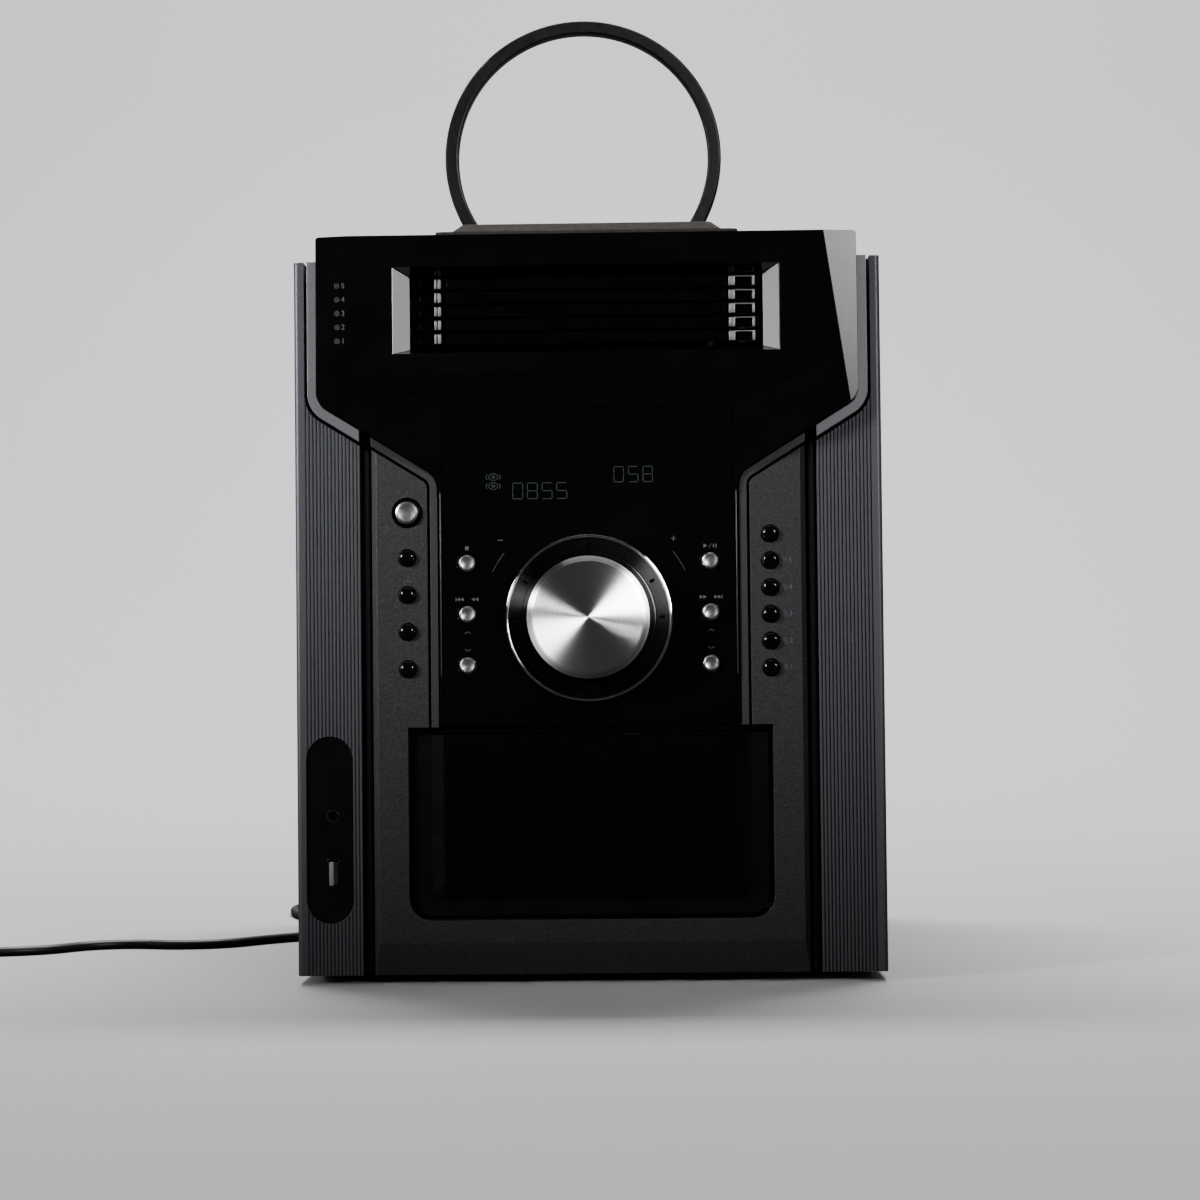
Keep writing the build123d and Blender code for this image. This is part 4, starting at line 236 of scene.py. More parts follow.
# Finishes of one substance. A row holds the shader's values; the two tones and the size of their
# patches; the lowest and highest roughness and the size of its patches; the grain's spacing,
# depth, edge rounding and, where it matters, detail; and zones of another colour, each a box
# and its tone. Sizes are millimetres.
FINISHES = {
    # Moulded and lacquered ABS of the fascia: a deep mirror with a faint orange-peel wave
    "piano_black_abs": (
        {"ior": 1.27}, ("#060607", "#09090a", 22.0), (0.04, 0.09, 9.0), (6.0, 0.004, 0.35),
    ),
    # Door and socket plate: black ABS a little duller and greyer than the fascia's lacquer, but
    # polished and nearly black on the door's raised plate
    "door_black_abs": (
        {"ior": 1.4}, ("#0b0b0d", "#101012", 12.0), (0.12, 0.2, 5.0), (4.0, 0.004, 0.3),
        ((-65, -200, 42), (65, -140, 112), "#040405"),
    ),
    # Cast acrylic, smoked nearly black: smoother and a little colder than the lacquer beside it
    "smoked_acrylic": (
        {"ior": 1.3}, ("#040505", "#060707", 35.0), (0.03, 0.06, 14.0), (12.0, 0.003, 0.3),
    ),
    # Dark ABS moulded in a spark-eroded tool: leathery bumps, about 1.1 mm apart
    "spark_eroded_abs": (
        {"ior": 1.52}, ("#1d1e20", "#28292c", 1.1), (0.42, 0.56, 1.3), (1.1, 0.16, 0.5, 1.5),
    ),
    # ABS sprayed with grey metallic lacquer: small flakes, about 0.3 mm, that glint one by one
    "metallic_grey_lacquer": (
        {"metallic": 0.4}, ("#4a4b50", "#606166", 0.5), (0.34, 0.48, 0.6), (0.45, 0.02, 0.25),
    ),
    # ABS sprayed with pale silver lacquer: an even satin with hardly any flake. The bands and
    # strips beside the key panel are painted darker grey, as painted shade on the same lacquer.
    "satin_silver_lacquer": (
        {"metallic": 0.6, "coat_weight": 0.2, "coat_roughness": 0.25},
        ("#8e9094", "#9c9ea2", 0.6), (0.34, 0.46, 0.8), (0.5, 0.008, 0.4),
        # painted shade: this box round the key panels is drawn in a darker grey, as if it lay in shadow
        ((-96.5, -171, 100), (96.5, -140, 260), "#48494c"),
    ),
    # Linings of the window's ends: a flat, nearly white silver lacquer, painted greyer on the right as
    # painted shade
    "pale_silver_lacquer": (
        {}, ("#dcdde0", "#e6e7e9", 0.8), (0.5, 0.6, 1.0), (0.5, 0.008, 0.2),
        # painted shade: the right lining is drawn greyer than the left, as if less lit
        ((70, -200, 270), (90, -140, 320), "#97989b"),
    ),
    # Silver keys plated with satin chrome: a smooth metal, hardly uneven
    "satin_chromed_abs": (
        {"metallic": 1.0}, ("#c3c4c7", "#cccdd0", 3.0), (0.28, 0.33, 2.5), (3.0, 0.002, 0.25),
    ),
    # Small domed keys, moulded in a polished tool: glossy with tiny moulding ripples
    "polished_black_abs": (
        {"ior": 1.4}, ("#040405", "#070708", 2.0), (0.08, 0.16, 1.5), (2.0, 0.004, 0.2),
    ),
    # ABS plated with bright chrome: a mirror with slight waviness and a few dull specks
    "chromed_abs": (
        {"metallic": 1.0}, ("#cfd1d4", "#dddee0", 6.0), (0.04, 0.1, 3.0), (3.0, 0.006, 0.2),
    ),
    # ABS under a thin smoky coat, nearly black, for the notched dial round the knob
    "dark_chromed_abs": (
        {"ior": 1.2}, ("#050506", "#09090a", 4.0), (0.1, 0.18, 2.0), (2.5, 0.004, 0.3),
    ),
    # Plain black ABS, moulded with a satin finish and faint flow marks
    "satin_black_abs": (
        {"ior": 1.52}, ("#0c0c0d", "#131314", 5.0), (0.36, 0.5, 3.0), (0.6, 0.02, 0.25),
    ),
    # The rods between pillar and key panel: dull black ABS that stays dark under every light
    "groove_black_abs": (
        {"ior": 1.2}, ("#040405", "#070708", 3.0), (0.5, 0.62, 2.0), (0.6, 0.02, 0.25),
    ),
    # Tray fronts and plates: black ABS with a clean gloss from a polished tool
    "glossy_tray_abs": (
        {"ior": 1.3}, ("#030304", "#060607", 8.0), (0.08, 0.18, 5.0), (4.0, 0.004, 0.25),
    ),
    # Sheet steel under black powder: a fine orange peel, about 0.8 mm from bump to bump
    "powder_coated_steel": (
        {"ior": 1.5}, ("#18181a", "#212123", 1.6), (0.42, 0.58, 1.8), (0.8, 0.035, 0.4, 3.0),
    ),
    # Top cover under a matt taupe lacquer, with a fine grit of 0.5 mm
    "taupe_matt_lacquer": (
        {"ior": 1.2}, ("#2b2825", "#35312d", 2.5), (0.7, 0.8, 1.5), (0.5, 0.02, 0.6),
    ),
    # Pressed rubber: dull, with dust-grey patches
    "pressed_rubber": (
        {"ior": 1.52}, ("#131313", "#1d1d1d", 3.0), (0.7, 0.88, 2.0), (0.7, 0.03, 0.3),
    ),
    # Soft PVC sheath: dark grey, satin, with a slight ripple from the cores twisted inside
    "cord_sheath": (
        {"ior": 1.53}, ("#17171a", "#202023", 9.0), (0.34, 0.46, 5.0), (2.2, 0.02, 0.2),
    ),
    # Copper wire under brown enamel, for the turns in the aerial's groove
    "enamelled_wire": (
        {"metallic": 0.9, "coat_weight": 0.6},
        ("#5b2f1a", "#74402a", 3.0), (0.2, 0.32, 2.0), (1.5, 0.01, 0.1),
    ),
    # Printed ink: flat, a little uneven where the pad lifted
    "grey_pad_print": (
        {"ior": 1.48}, ("#4c4e51", "#5c5e62", 0.6), (0.45, 0.6, 0.8), (0.3, 0.004, 0.05),
    ),
    # Segments of the display seen through the smoked panel: a dim bluish grey, with a faint painted glow
    "unlit_phosphor_painted_glow": (
        # painted glow: a faint emission on segments that are not lit
        {"emission_color": linear("#7f9097"), "emission_strength": 0.018},
        ("#1a2022", "#242b2d", 0.8), (0.5, 0.6, 0.8), (0.4, 0.003, 0.05),
    ),
    # Tongue of the USB socket: grey ABS, moulded with a satin finish
    "grey_tongue_abs": (
        {"ior": 1.52}, ("#858583", "#91918f", 2.0), (0.34, 0.46, 1.5), (0.8, 0.01, 0.3),
    ),
    # Black ABS block whose levers and socket rings are coloured: red and black, red and white
    "rear_sockets_abs": (
        {"ior": 1.52}, ("#0d0d0e", "#161617", 3.0), (0.36, 0.5, 2.0), (0.7, 0.012, 0.3),
        ((-4.7, 178.1, 62), (7.7, 184, 72), "#8c1512"),
        ((33.3, 178.1, 62), (45.7, 184, 72), "#8c1512"),
        ((77.5, 178.1, 145), (87.5, 184, 155), "#a01a14"),
        ((63.5, 178.1, 145), (73.5, 184, 155), "#c9c8c4"),
    ),
}


def plain_finish(name):
    """Makes a finish from its row in the table."""
    sockets, tones, gloss, bumps, *zones = FINISHES[name]
    material, tree, shader = new_material(name, **sockets)
    mottled(tree, shader, *tones)
    uneven_gloss(tree, shader, *gloss)
    grain(tree, shader, *bumps)
    for low, high, code in zones:
        recolour(tree, shader, zone(tree, low, high), code)
    return material


def spun_aluminium():
    # Aluminium turned on a lathe: fine rings that spread each light into a bow tie
    material, tree, shader = new_material(
        "spun_aluminium", metallic=1.0, anisotropic=1.0, anisotropic_rotation=0.25
    )
    way = add_node(tree, "Tangent", direction_type="UV_MAP", uv_map="rings")
    tree.links.new(way.outputs["Tangent"], shader.inputs["Tangent"])
    rings_map = add_node(tree, "UVMap", uv_map="rings")
    # the second coordinate runs outwards in millimetres; lathe marks are 0.25 mm apart
    spot = {"Vector": rings_map.outputs["UV"], "Scale": (0.15, 4.0, 1.0)}
    stretch = add_node(tree, "Mapping", spot).outputs["Vector"]
    mottled(tree, shader, "#b4b5b8", "#dddee0", 1.0, detail=4.0, vector=stretch)
    uneven_gloss(tree, shader, 0.27, 0.3, 1.0, vector=stretch)
    return material


def zinc_plated_steel():
    # Galvanised sheet: frost-like spangle, about 7 mm across
    material, tree, shader = new_material("zinc_plated_steel", metallic=1.0)
    spangle = add_node(tree, "TexVoronoi", {"Vector": place_in_mm(tree), "Scale": 1 / 7.0})
    two_tones(tree, shader, spangle.outputs["Color"], "#85888b", "#b0b3b6")
    uneven_gloss(tree, shader, 0.32, 0.48, 2.5)
    grain(tree, shader, 1.2, 0.01, 0.2)
    return material


def solder_masked_board():
    # Glass-fibre board under green solder mask, with copper tracks 1.3 mm wide showing through
    # and black parts standing on the main board
    material, tree, shader = new_material(
        "solder_masked_board", ior=1.55, coat_weight=0.5, coat_roughness=0.15
    )
    tracks = add_node(
        tree,
        "TexBrick",
        {
            "Vector": place_in_mm(tree),
            "Color1": linear("#0b3a1e"),
            "Color2": linear("#0d4424"),
            "Mortar": linear("#2b6a34"),
            "Scale": 1.0,
            "Mortar Size": 0.45,
            "Brick Width": 9.0,
            "Row Height": 3.4,
        },
    )
    tree.links.new(tracks.outputs["Color"], shader.inputs["Base Color"])
    uneven_gloss(tree, shader, 0.3, 0.45, 4.0)
    relief(tree, shader, tracks.outputs["Fac"], 0.03, 0.15)
    recolour(tree, shader, zone(tree, (-5, 20, 13.9), (118, 130, 70)), "#14161a")
    return material


def display_glass():
    # Dark glass of the display tube with its fine grid, one line each 1.2 mm
    material, tree, shader = new_material(
        "display_glass", ior=1.52, coat_weight=0.5, coat_roughness=0.02
    )
    lines = {"Vector": place_in_mm(tree), "Scale": 0.26}
    grid = add_node(tree, "TexWave", lines, bands_direction="X").outputs["Fac"]
    two_tones(tree, shader, grid, "#0b1112", "#182224")
    uneven_gloss(tree, shader, 0.05, 0.1, 8.0)
    relief(tree, shader, grid, 0.01, 0.3)
    return material


def deck_aluminium():
    # Rolled aluminium sheet: lengthwise rolling lines, stretched ten to one
    material, tree, shader = new_material("deck_aluminium", metallic=1.0)
    lines = place_in_mm(tree, (100.0, 1000.0, 1000.0))
    mottled(tree, shader, "#96989a", "#aeb0b2", 0.8, vector=lines)
    uneven_gloss(tree, shader, 0.3, 0.44, 0.9, vector=lines)
    grain(tree, shader, 0.5, 0.01, 0.3, vector=lines)
    return material


def laminated_iron():
    # Transformer core of varnished sheets, drawn 1 mm each, with the winding under amber tape
    # that stands out in front and behind
    material, tree, shader = new_material("laminated_iron", metallic=0.7)
    edges = {"Vector": place_in_mm(tree), "Scale": 0.31, "Distortion": 0.4}
    sheets = add_node(tree, "TexWave", edges, bands_direction="Y").outputs["Fac"]
    two_tones(tree, shader, sheets, "#1d1c1c", "#3d3b39")
    uneven_gloss(tree, shader, 0.4, 0.55, 3.0)
    relief(tree, shader, sheets, 0.1, 0.3)
    for start, end in ((58, 73.9), (108.1, 125)):
        winding = zone(tree, (-90, start, 10), (-40, end, 60))
        recolour(tree, shader, winding, "#a97826", metallic=0.0)
    return material


def moulded_plug():
    # Plug body of moulded PVC, with its two nickel-plated pins
    material, tree, shader = new_material("moulded_plug", ior=1.53)
    mottled(tree, shader, "#17171a", "#202023", 6.0)
    uneven_gloss(tree, shader, 0.36, 0.48, 4.0)
    grain(tree, shader, 1.2, 0.02, 0.5)
    low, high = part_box("mains_plug")
    pins = zone(tree, (-500, low.y / MM - 1, -1), (0, low.y / MM + PIN_LENGTH, 30))
    recolour(tree, shader, pins, "#bfbbb1", metallic=1.0)
    return material


# Finishes that a row of the table can't hold
MAKERS = {
    maker.__name__: maker
    for maker in (
        spun_aluminium, zinc_plated_steel, solder_masked_board, display_glass, deck_aluminium,
        laminated_iron, moulded_plug,
    )
}
MATERIALS = {}


def finish_of(name):
    """The named finish, made at its first use."""
    if name not in MATERIALS:
        MATERIALS[name] = MAKERS[name]() if name in MAKERS else plain_finish(name)
    return MATERIALS[name]


def dress(finish, *names):
    """Gives CAD nodes a finish through the slots of their objects."""
    for name in names:
        for place in nodes[name].material_slots:
            place.material = finish_of(finish)


def finish_piece(bm, name, body, finish, replaces=()):
    """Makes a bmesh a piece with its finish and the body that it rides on."""
    mesh = bpy.data.meshes.new(name)
    bm.to_mesh(mesh)
    bm.free()
    mesh.materials.append(finish_of(finish))
    mesh.shade_smooth()
    mesh.set_sharp_from_angle(angle=SHARP_ANGLE)
    piece = bpy.data.objects.new(name, mesh)
    bpy.context.scene.collection.objects.link(piece)
    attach(piece, body)
    if replaces:
        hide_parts(*replaces)


def spin(bm, geom, centre, axis, steps):
    """Turns an outline once round an axis."""
    bmesh.ops.spin(
        bm, geom=geom, cent=centre, axis=axis, angle=math.tau, steps=steps, use_merge=True
    )


def close_up(bm):
    """Merges the vertices that lie on each other and turns the normals outwards."""
    bmesh.ops.remove_doubles(bm, verts=bm.verts, dist=MERGE)
    bmesh.ops.recalc_face_normals(bm, faces=bm.faces)


def turned(profile, centre_x, centre_z, steps):
    """Solid of revolution about an axis through the front; profile holds (radius, depth) in mm."""
    bm = bmesh.new()
    corners = [bm.verts.new(at(centre_x + r, depth, centre_z)) for r, depth in profile]
    for pair in zip(corners, corners[1:] + corners[:1]):
        bm.edges.new(pair)
    spin(bm, bm.verts[:] + bm.edges[:], at(centre_x, 0, centre_z), (0, 1, 0), steps)
    close_up(bm)
    return bm


def ring_profile(inner, outer, front, back):
    """Rectangular section of a ring, from its two radii and two depths."""
    return [(inner, front), (outer, front), (outer, back), (inner, back)]


def round_edges(bm, radius, segments=2):
    """Rounds the sharp edges of a shape by a radius in millimetres."""
    bmesh.ops.bevel(
        bm,
        geom=[e for e in bm.edges if len(e.link_faces) == 2 and e.calc_face_angle() > BEVEL_ANGLE],
        offset=radius * MM,
        offset_type="OFFSET",
        segments=segments,
        profile=0.5,
        affect="EDGES",
        material=-1,
        clamp_overlap=True,
    )


def add_block(bm, low, high):
    """Adds a box between two corners, each (x, depth, z)."""
    low, high = at(*low), at(*high)
    size = Matrix.Diagonal((*(high - low), 1.0))
    bmesh.ops.create_cube(bm, size=1.0, matrix=Matrix.Translation((low + high) / 2) @ size)


def add_print(bm, outline, depth):
    """Adds a flat face with the given (x, z) corners at a depth."""
    bm.faces.new([bm.verts.new(at(x, depth, z)) for x, z in outline])


def add_stroke(bm, points, width, depth, closed=False):
    """Adds a line of constant width through (x, z) points, as one strip of faces."""
    count = len(points)
    sides = []
    for i, (x, z) in enumerate(points):
        before = points[i - 1] if i or closed else points[i]
        after = points[(i + 1) % count] if i + 1 < count or closed else points[i]
        dx, dz = after[0] - before[0], after[1] - before[1]
        scale = width / 2 / math.hypot(dx, dz)
        across = (-dz * scale, dx * scale)
        sides.append([bm.verts.new(at(x + s * across[0], depth, z + s * across[1])) for s in (-1, 1)])
    pairs = list(zip(sides, sides[1:]))
    if closed:
        pairs.append((sides[-1], sides[0]))
    for (a, b), (c, d) in pairs:
        bm.faces.new((a, b, d, c))


def arc_points(x, z, radius, start, end, count=12, squash=1.0):
    """Points of an arc round (x, z), with angles in degrees from the right, anticlockwise."""
    angles = [math.radians(start + (end - start) * i / count) for i in range(count + 1)]
    return [(x + radius * math.cos(a), z + squash * radius * math.sin(a)) for a in angles]


def circle_points(x, z, radius, count, squash=1.0):
    """Points of a whole circle round (x, z), each once."""
    return arc_points(x, z, radius, 0, 360, count, squash)[:-1]


def add_digit(bm, text, x, z, height, depth):
    """Adds a digit in the plain built-in face, centred on (x, z)."""
    words = bpy.data.curves.new("digit", "FONT")
    words.body = text
    words.size = height * MM * FACE_TO_DIGIT
    words.align_x = "CENTER"
    words.align_y = "CENTER"
    holder = bpy.data.objects.new("digit", words)
    bpy.context.scene.collection.objects.link(holder)
    bpy.context.view_layer.update()
    seen = holder.evaluated_get(bpy.context.evaluated_depsgraph_get())
    mesh = bpy.data.meshes.new_from_object(seen)
    mesh.transform(Matrix.Translation(at(x, depth, z)) @ Matrix.Rotation(math.radians(90), 4, "X"))
    bm.from_mesh(mesh)
    bpy.data.objects.remove(holder)
    bpy.data.curves.remove(words)
    bpy.data.meshes.remove(mesh)


def thicken_print(bm, wall=0.05):
    """Gives flat faces the small thickness of ink, towards the viewer."""
    bmesh.ops.remove_doubles(bm, verts=bm.verts, dist=MERGE / 10)
    made = bmesh.ops.extrude_face_region(bm, geom=bm.faces[:])
    moved = [v for v in made["geom"] if isinstance(v, bmesh.types.BMVert)]
    bmesh.ops.translate(bm, verts=moved, vec=(0, -wall * MM, 0))
    bmesh.ops.recalc_face_normals(bm, faces=bm.faces)


SEGMENTS = {"0": "abcdef", "5": "afgcd", "8": "abcdefg"}


def add_segments(bm, text, x, z, width, height, pitch, stroke):
    """Adds seven-segment digits on the column's face, the first one's lower left corner at (x, z)."""
    gap = stroke * 0.7
    runs = {
        "a": ((gap, height), (width - gap, height)),
        "b": ((width, height - gap), (width, height / 2 + gap)),
        "c": ((width, height / 2 - gap), (width, gap)),
        "d": ((gap, 0), (width - gap, 0)),
        "e": ((0, gap), (0, height / 2 - gap)),
        "f": ((0, height / 2 + gap), (0, height - gap)),
        "g": ((gap, height / 2), (width - gap, height / 2)),
    }
    for place, figure in enumerate(text):
        for run in SEGMENTS[figure]:
            ends = [(x + place * pitch + u, z + v) for u, v in runs[run]]
            add_stroke(bm, ends, stroke, COLUMN_DEPTH)


# Sizes and colours that a user would change


class MINISYSTEM_PG_knob(bpy.types.PropertyGroup):
    radius: bpy.props.FloatProperty(
        name="Knob radius", description="Outer radius in millimetres", default=26.75, min=10.0
    )
    face_radius: bpy.props.FloatProperty(
        name="Face radius", description="Radius of the flat face in millimetres", default=24.25, min=8.0
    )
    edge: bpy.props.FloatProperty(
        name="Edge radius", description="Rounding of the turned edges in millimetres", default=0.3, min=0.05
    )


class MINISYSTEM_PG_cord(bpy.types.PropertyGroup):
    diameter: bpy.props.FloatProperty(
        name="Diameter", description="Outside of the sheath", default=0.0046, unit="LENGTH"
    )
    length: bpy.props.FloatProperty(
        name="Length", description="Whole lead with its coil", default=1.611, unit="LENGTH"
    )


class MINISYSTEM_PG_legends(bpy.types.PropertyGroup):
    digit_height: bpy.props.FloatProperty(
        name="Digit height", description="Height of the key numbers in millimetres", default=2.3, min=0.5
    )


class MINISYSTEM_PG_studio(bpy.types.PropertyGroup):
    lens: bpy.props.FloatProperty(
        name="Focal length", description="Lens of the front view", default=82.2, unit="CAMERA"
    )
    place: bpy.props.FloatVectorProperty(
        name="Camera place",
        description="Where the camera stands",
        default=(0.028, -1.371, 0.1324),
        subtype="TRANSLATION",
        unit="LENGTH",
    )
    yaw: bpy.props.FloatProperty(
        name="Yaw", description="Turn to the left", default=math.radians(1.097), subtype="ANGLE"
    )
    pitch: bpy.props.FloatProperty(
        name="Pitch", description="Tilt upwards", default=math.radians(1.712), subtype="ANGLE"
    )
    roll: bpy.props.FloatProperty(
        name="Roll", description="Roll to the right", default=math.radians(0.598), subtype="ANGLE"
    )
    backdrop: bpy.props.FloatVectorProperty(
        name="Backdrop",
        description="Tone of floor and backdrop",
        default=linear(PALE_TONE)[:3],
        subtype="COLOR",
        min=0.0,
        max=1.0,
    )


class MINISYSTEM_OT_camera(bpy.types.Operator):
    """Places the camera a little right of the middle, level with the lower keys"""

    bl_idname = "minisystem.camera"
    bl_label = "Camera"

    def execute(self, context):
        studio = context.scene.minisystem_studio
        data = bpy.data.cameras.new("front_view")
        data.lens = studio.lens
        data.sensor_width = 36.0
        data.clip_start = 0.05
        camera = bpy.data.objects.new("front_view", data)
        context.scene.collection.objects.link(camera)
        ahead = Vector((
            -math.sin(studio.yaw) * math.cos(studio.pitch),
            math.cos(studio.yaw) * math.cos(studio.pitch),
            math.sin(studio.pitch),
        ))
        level = Vector((math.cos(studio.yaw), math.sin(studio.yaw), 0))
        upwards = level.cross(ahead)
        right = level * math.cos(studio.roll) - upwards * math.sin(studio.roll)
        up = level * math.sin(studio.roll) + upwards * math.cos(studio.roll)
        turn = Matrix((right, up, -ahead)).transposed().to_4x4()
        camera.matrix_world = Matrix.Translation(Vector(studio.place)) @ turn
        context.scene.camera = camera
        return {"FINISHED"}


# Route of the mains lead in metres: out of the relief, down, round the rear left corner,
# forward along the side and away to the left
CORD_FLOOR = 0.00235         # height of the lead's middle where it lies on the floor
CORD_ROUTE = [
    (-0.108, 0.203, 0.030), (-0.108, 0.222, 0.030), (-0.110, 0.239, 0.019), (-0.116, 0.253, 0.0075),
] + [
    (x, y, CORD_FLOOR)
    for x, y in (
        (-0.127, 0.264), (-0.143, 0.269), (-0.162, 0.263), (-0.176, 0.247), (-0.182, 0.224),
        (-0.179, 0.198), (-0.170, 0.170), (-0.159, 0.140), (-0.150, 0.110), (-0.146, 0.082),
        (-0.151, 0.051), (-0.170, 0.036), (-0.188, 0.013), (-0.212, 0.007), (-0.236, 0.016),
        (-0.259, 0.009), (-0.274, -0.013), (-0.298, -0.021), (-0.322, -0.022), (-0.338, -0.022),
    )
]
# The put-away coil in millimetres: one radius for each half turn, inwards on the lower layer
# and outwards on the upper one
COIL_START = (-342.6, -22.0, 2.35)
COIL_RADII = (33.8, 31.25, 28.7, 26.15, 23.6, 21.05, 18.5, 21.05, 23.6, 26.15, 28.7, 31.25)
COIL_CLIMB = 6               # the half turn that climbs to the upper layer
COIL_RISE = 5.1
COIL_EXIT_RADIUS = 44.0
HALF_TURN_POINTS = 12
PLUG_RUN = 4.6               # straight end of the lead, into the plug


def coil_points():
    """Control points of the put-away coil and its end, in metres."""
    points = []
    place = Vector(COIL_START)
    heading = Vector((-1, 0, 0))
    step = math.pi / HALF_TURN_POINTS
    for number, radius in enumerate((*COIL_RADII, COIL_EXIT_RADIUS)):
        side = Vector((-heading.y, heading.x, 0))
        centre = place + side * radius
        count = HALF_TURN_POINTS if number < len(COIL_RADII) else HALF_TURN_POINTS // 2
        reach = radius / math.cos(step / 2)
        for i in range(count):
            angle = (i + 0.5) * step
            rise = COIL_RISE * (i + 0.5) / count if number == COIL_CLIMB else 0
            spot = centre - side * (reach * math.cos(angle)) + heading * (reach * math.sin(angle))
            points.append((spot + Vector((0, 0, rise))) * MM)
        if number < len(COIL_RADII):
            place = place + side * (2 * radius)
            heading = -heading
            if number == COIL_CLIMB:
                place.z += COIL_RISE
        else:
            place = centre + heading * radius
            points.append((place + side * PLUG_RUN) * MM)
    return points


class MINISYSTEM_OT_cord(bpy.types.Operator):
    """Lays the mains lead on one smooth spline, with its coil, plug and strain relief"""

    bl_idname = "minisystem.cord"
    bl_label = "Mains lead"

    def execute(self, context):
        sizes = context.scene.minisystem_cord
        curve = bpy.data.curves.new("mains_lead", "CURVE")
        curve.dimensions = "3D"
        spline = curve.splines.new("NURBS")
        points = [Vector(p) for p in CORD_ROUTE] + coil_points()
        spline.points.add(len(points) - 1)
        for point, spot in zip(spline.points, points):
            point.co = (*spot, 1.0)
        spline.order_u = 3
        spline.use_endpoint_u = True
        spline.resolution_u = 6
        curve.bevel_depth = sizes.diameter / 2
        curve.bevel_resolution = 3
        curve.use_fill_caps = True
        curve.materials.append(finish_of("cord_sheath"))
        lead = bpy.data.objects.new("mains_lead", curve)
        context.scene.collection.objects.link(lead)
        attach(lead, CABINET)
        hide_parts("mains_cord", "mains_coil")
        dress("moulded_plug", "mains_plug")
        dress("cord_sheath", "cord_relief")
        return {"FINISHED"}


class MINISYSTEM_OT_knob(bpy.types.Operator):
    """Turns the volume knob with its spun face, and the bright lip of the ring round it"""

    bl_idname = "minisystem.knob"
    bl_label = "Volume knob and ring"

    def execute(self, context):
        sizes = context.scene.minisystem_knob
        r, face = sizes.radius, sizes.face_radius
        profile = [
            (0, KNOB_FACE), (face, KNOB_FACE), (r, KNOB_BEVEL), (r, KNOB_BACK),
            (SHAFT_RADIUS, KNOB_BACK), (SHAFT_RADIUS, SHAFT_END), (0, SHAFT_END),
        ]
        bm = turned(profile, 0, KNOB_Z, 128)
        round_edges(bm, sizes.edge, segments=3)
        # map of the lathe marks: round the axis, then outwards in millimetres
        rings = bm.loops.layers.uv.new("rings")
        for f in bm.faces:
            middle = f.calc_center_median()
            turn = math.atan2(middle.z / MM - KNOB_Z, middle.x / MM)
            for corner in f.loops:
                x, z = corner.vert.co.x / MM, corner.vert.co.z / MM - KNOB_Z
                out = math.hypot(x, z)
                angle = math.atan2(z, x) if out > 1e-3 else turn
                if angle - turn > math.pi:
                    angle -= math.tau
                elif turn - angle > math.pi:
                    angle += math.tau
                corner[rings].uv = (angle / math.tau, out - corner.vert.co.y / MM + FASCIA_Y)
        finish_piece(
            bm, "spun_knob", "volume_knob", "spun_aluminium", replaces=("volume_knob",)
        )
        bm = turned(ring_profile(*LIP), 0, KNOB_Z, 128)
        round_edges(bm, 0.45, segments=3)
        finish_piece(bm, "ring_lip", CABINET, "chromed_abs")
        bm = turned(BEAD_PROFILE, 0, KNOB_Z, 128)
        finish_piece(bm, "dial_bead", CABINET, "polished_black_abs")
        dress("dark_chromed_abs", "volume_ring")
        return {"FINISHED"}


class MINISYSTEM_OT_window(bpy.types.Operator):
    """Lines the ends of the tray window and fits each tray's silver bars, with a silver edging at its right
    end alone as a painted highlight
    """

    bl_idname = "minisystem.window"
    bl_label = "Tray window"

    def execute(self, context):
        bm = bmesh.new()
        for side in (-1, 1):
            bm.faces.new([bm.verts.new(at(side * x, depth, z)) for x, depth, z in LINING_CORNERS])
        bmesh.ops.recalc_face_normals(bm, faces=bm.faces)
        for f in bm.faces:
            if f.normal.y > 0:
                f.normal_flip()
        made = bmesh.ops.extrude_face_region(bm, geom=bm.faces[:])
        for v in made["geom"]:
            if isinstance(v, bmesh.types.BMVert):
                inwards = -math.copysign(LINING_INWARDS, v.co.x)
                v.co += Vector((inwards, -LINING_FORWARDS, 0)) * MM
        bmesh.ops.recalc_face_normals(bm, faces=bm.faces)
        finish_piece(bm, "window_linings", CABINET, "pale_silver_lacquer")
        for number, level in enumerate(TRAY_Z, start=1):
            body = f"disc_tray_{number}"
            front, back = BAR_DEPTHS
            low, high = level - BAR_HALF_HEIGHT, level + BAR_HALF_HEIGHT
            bars = [((x - half, front, low), (x + half, back, high)) for x, half in TRAY_BARS]
            # painted highlight: edging blocks at the tray's right end only
            rim_highlight = [((a, b, level + c), (d, e, level + f)) for (a, b, c), (d, e, f) in RIM_HIGHLIGHT_BLOCKS]
            for name, blocks in (("tray_bars", bars), ("tray_rim", rim_highlight)):
                bm = bmesh.new()
                for block in blocks:
                    add_block(bm, *block)
                round_edges(bm, TRIM_ROUNDING)
                finish_piece(bm, f"{name}_{number}", body, "satin_silver_lacquer")
        return {"FINISHED"}


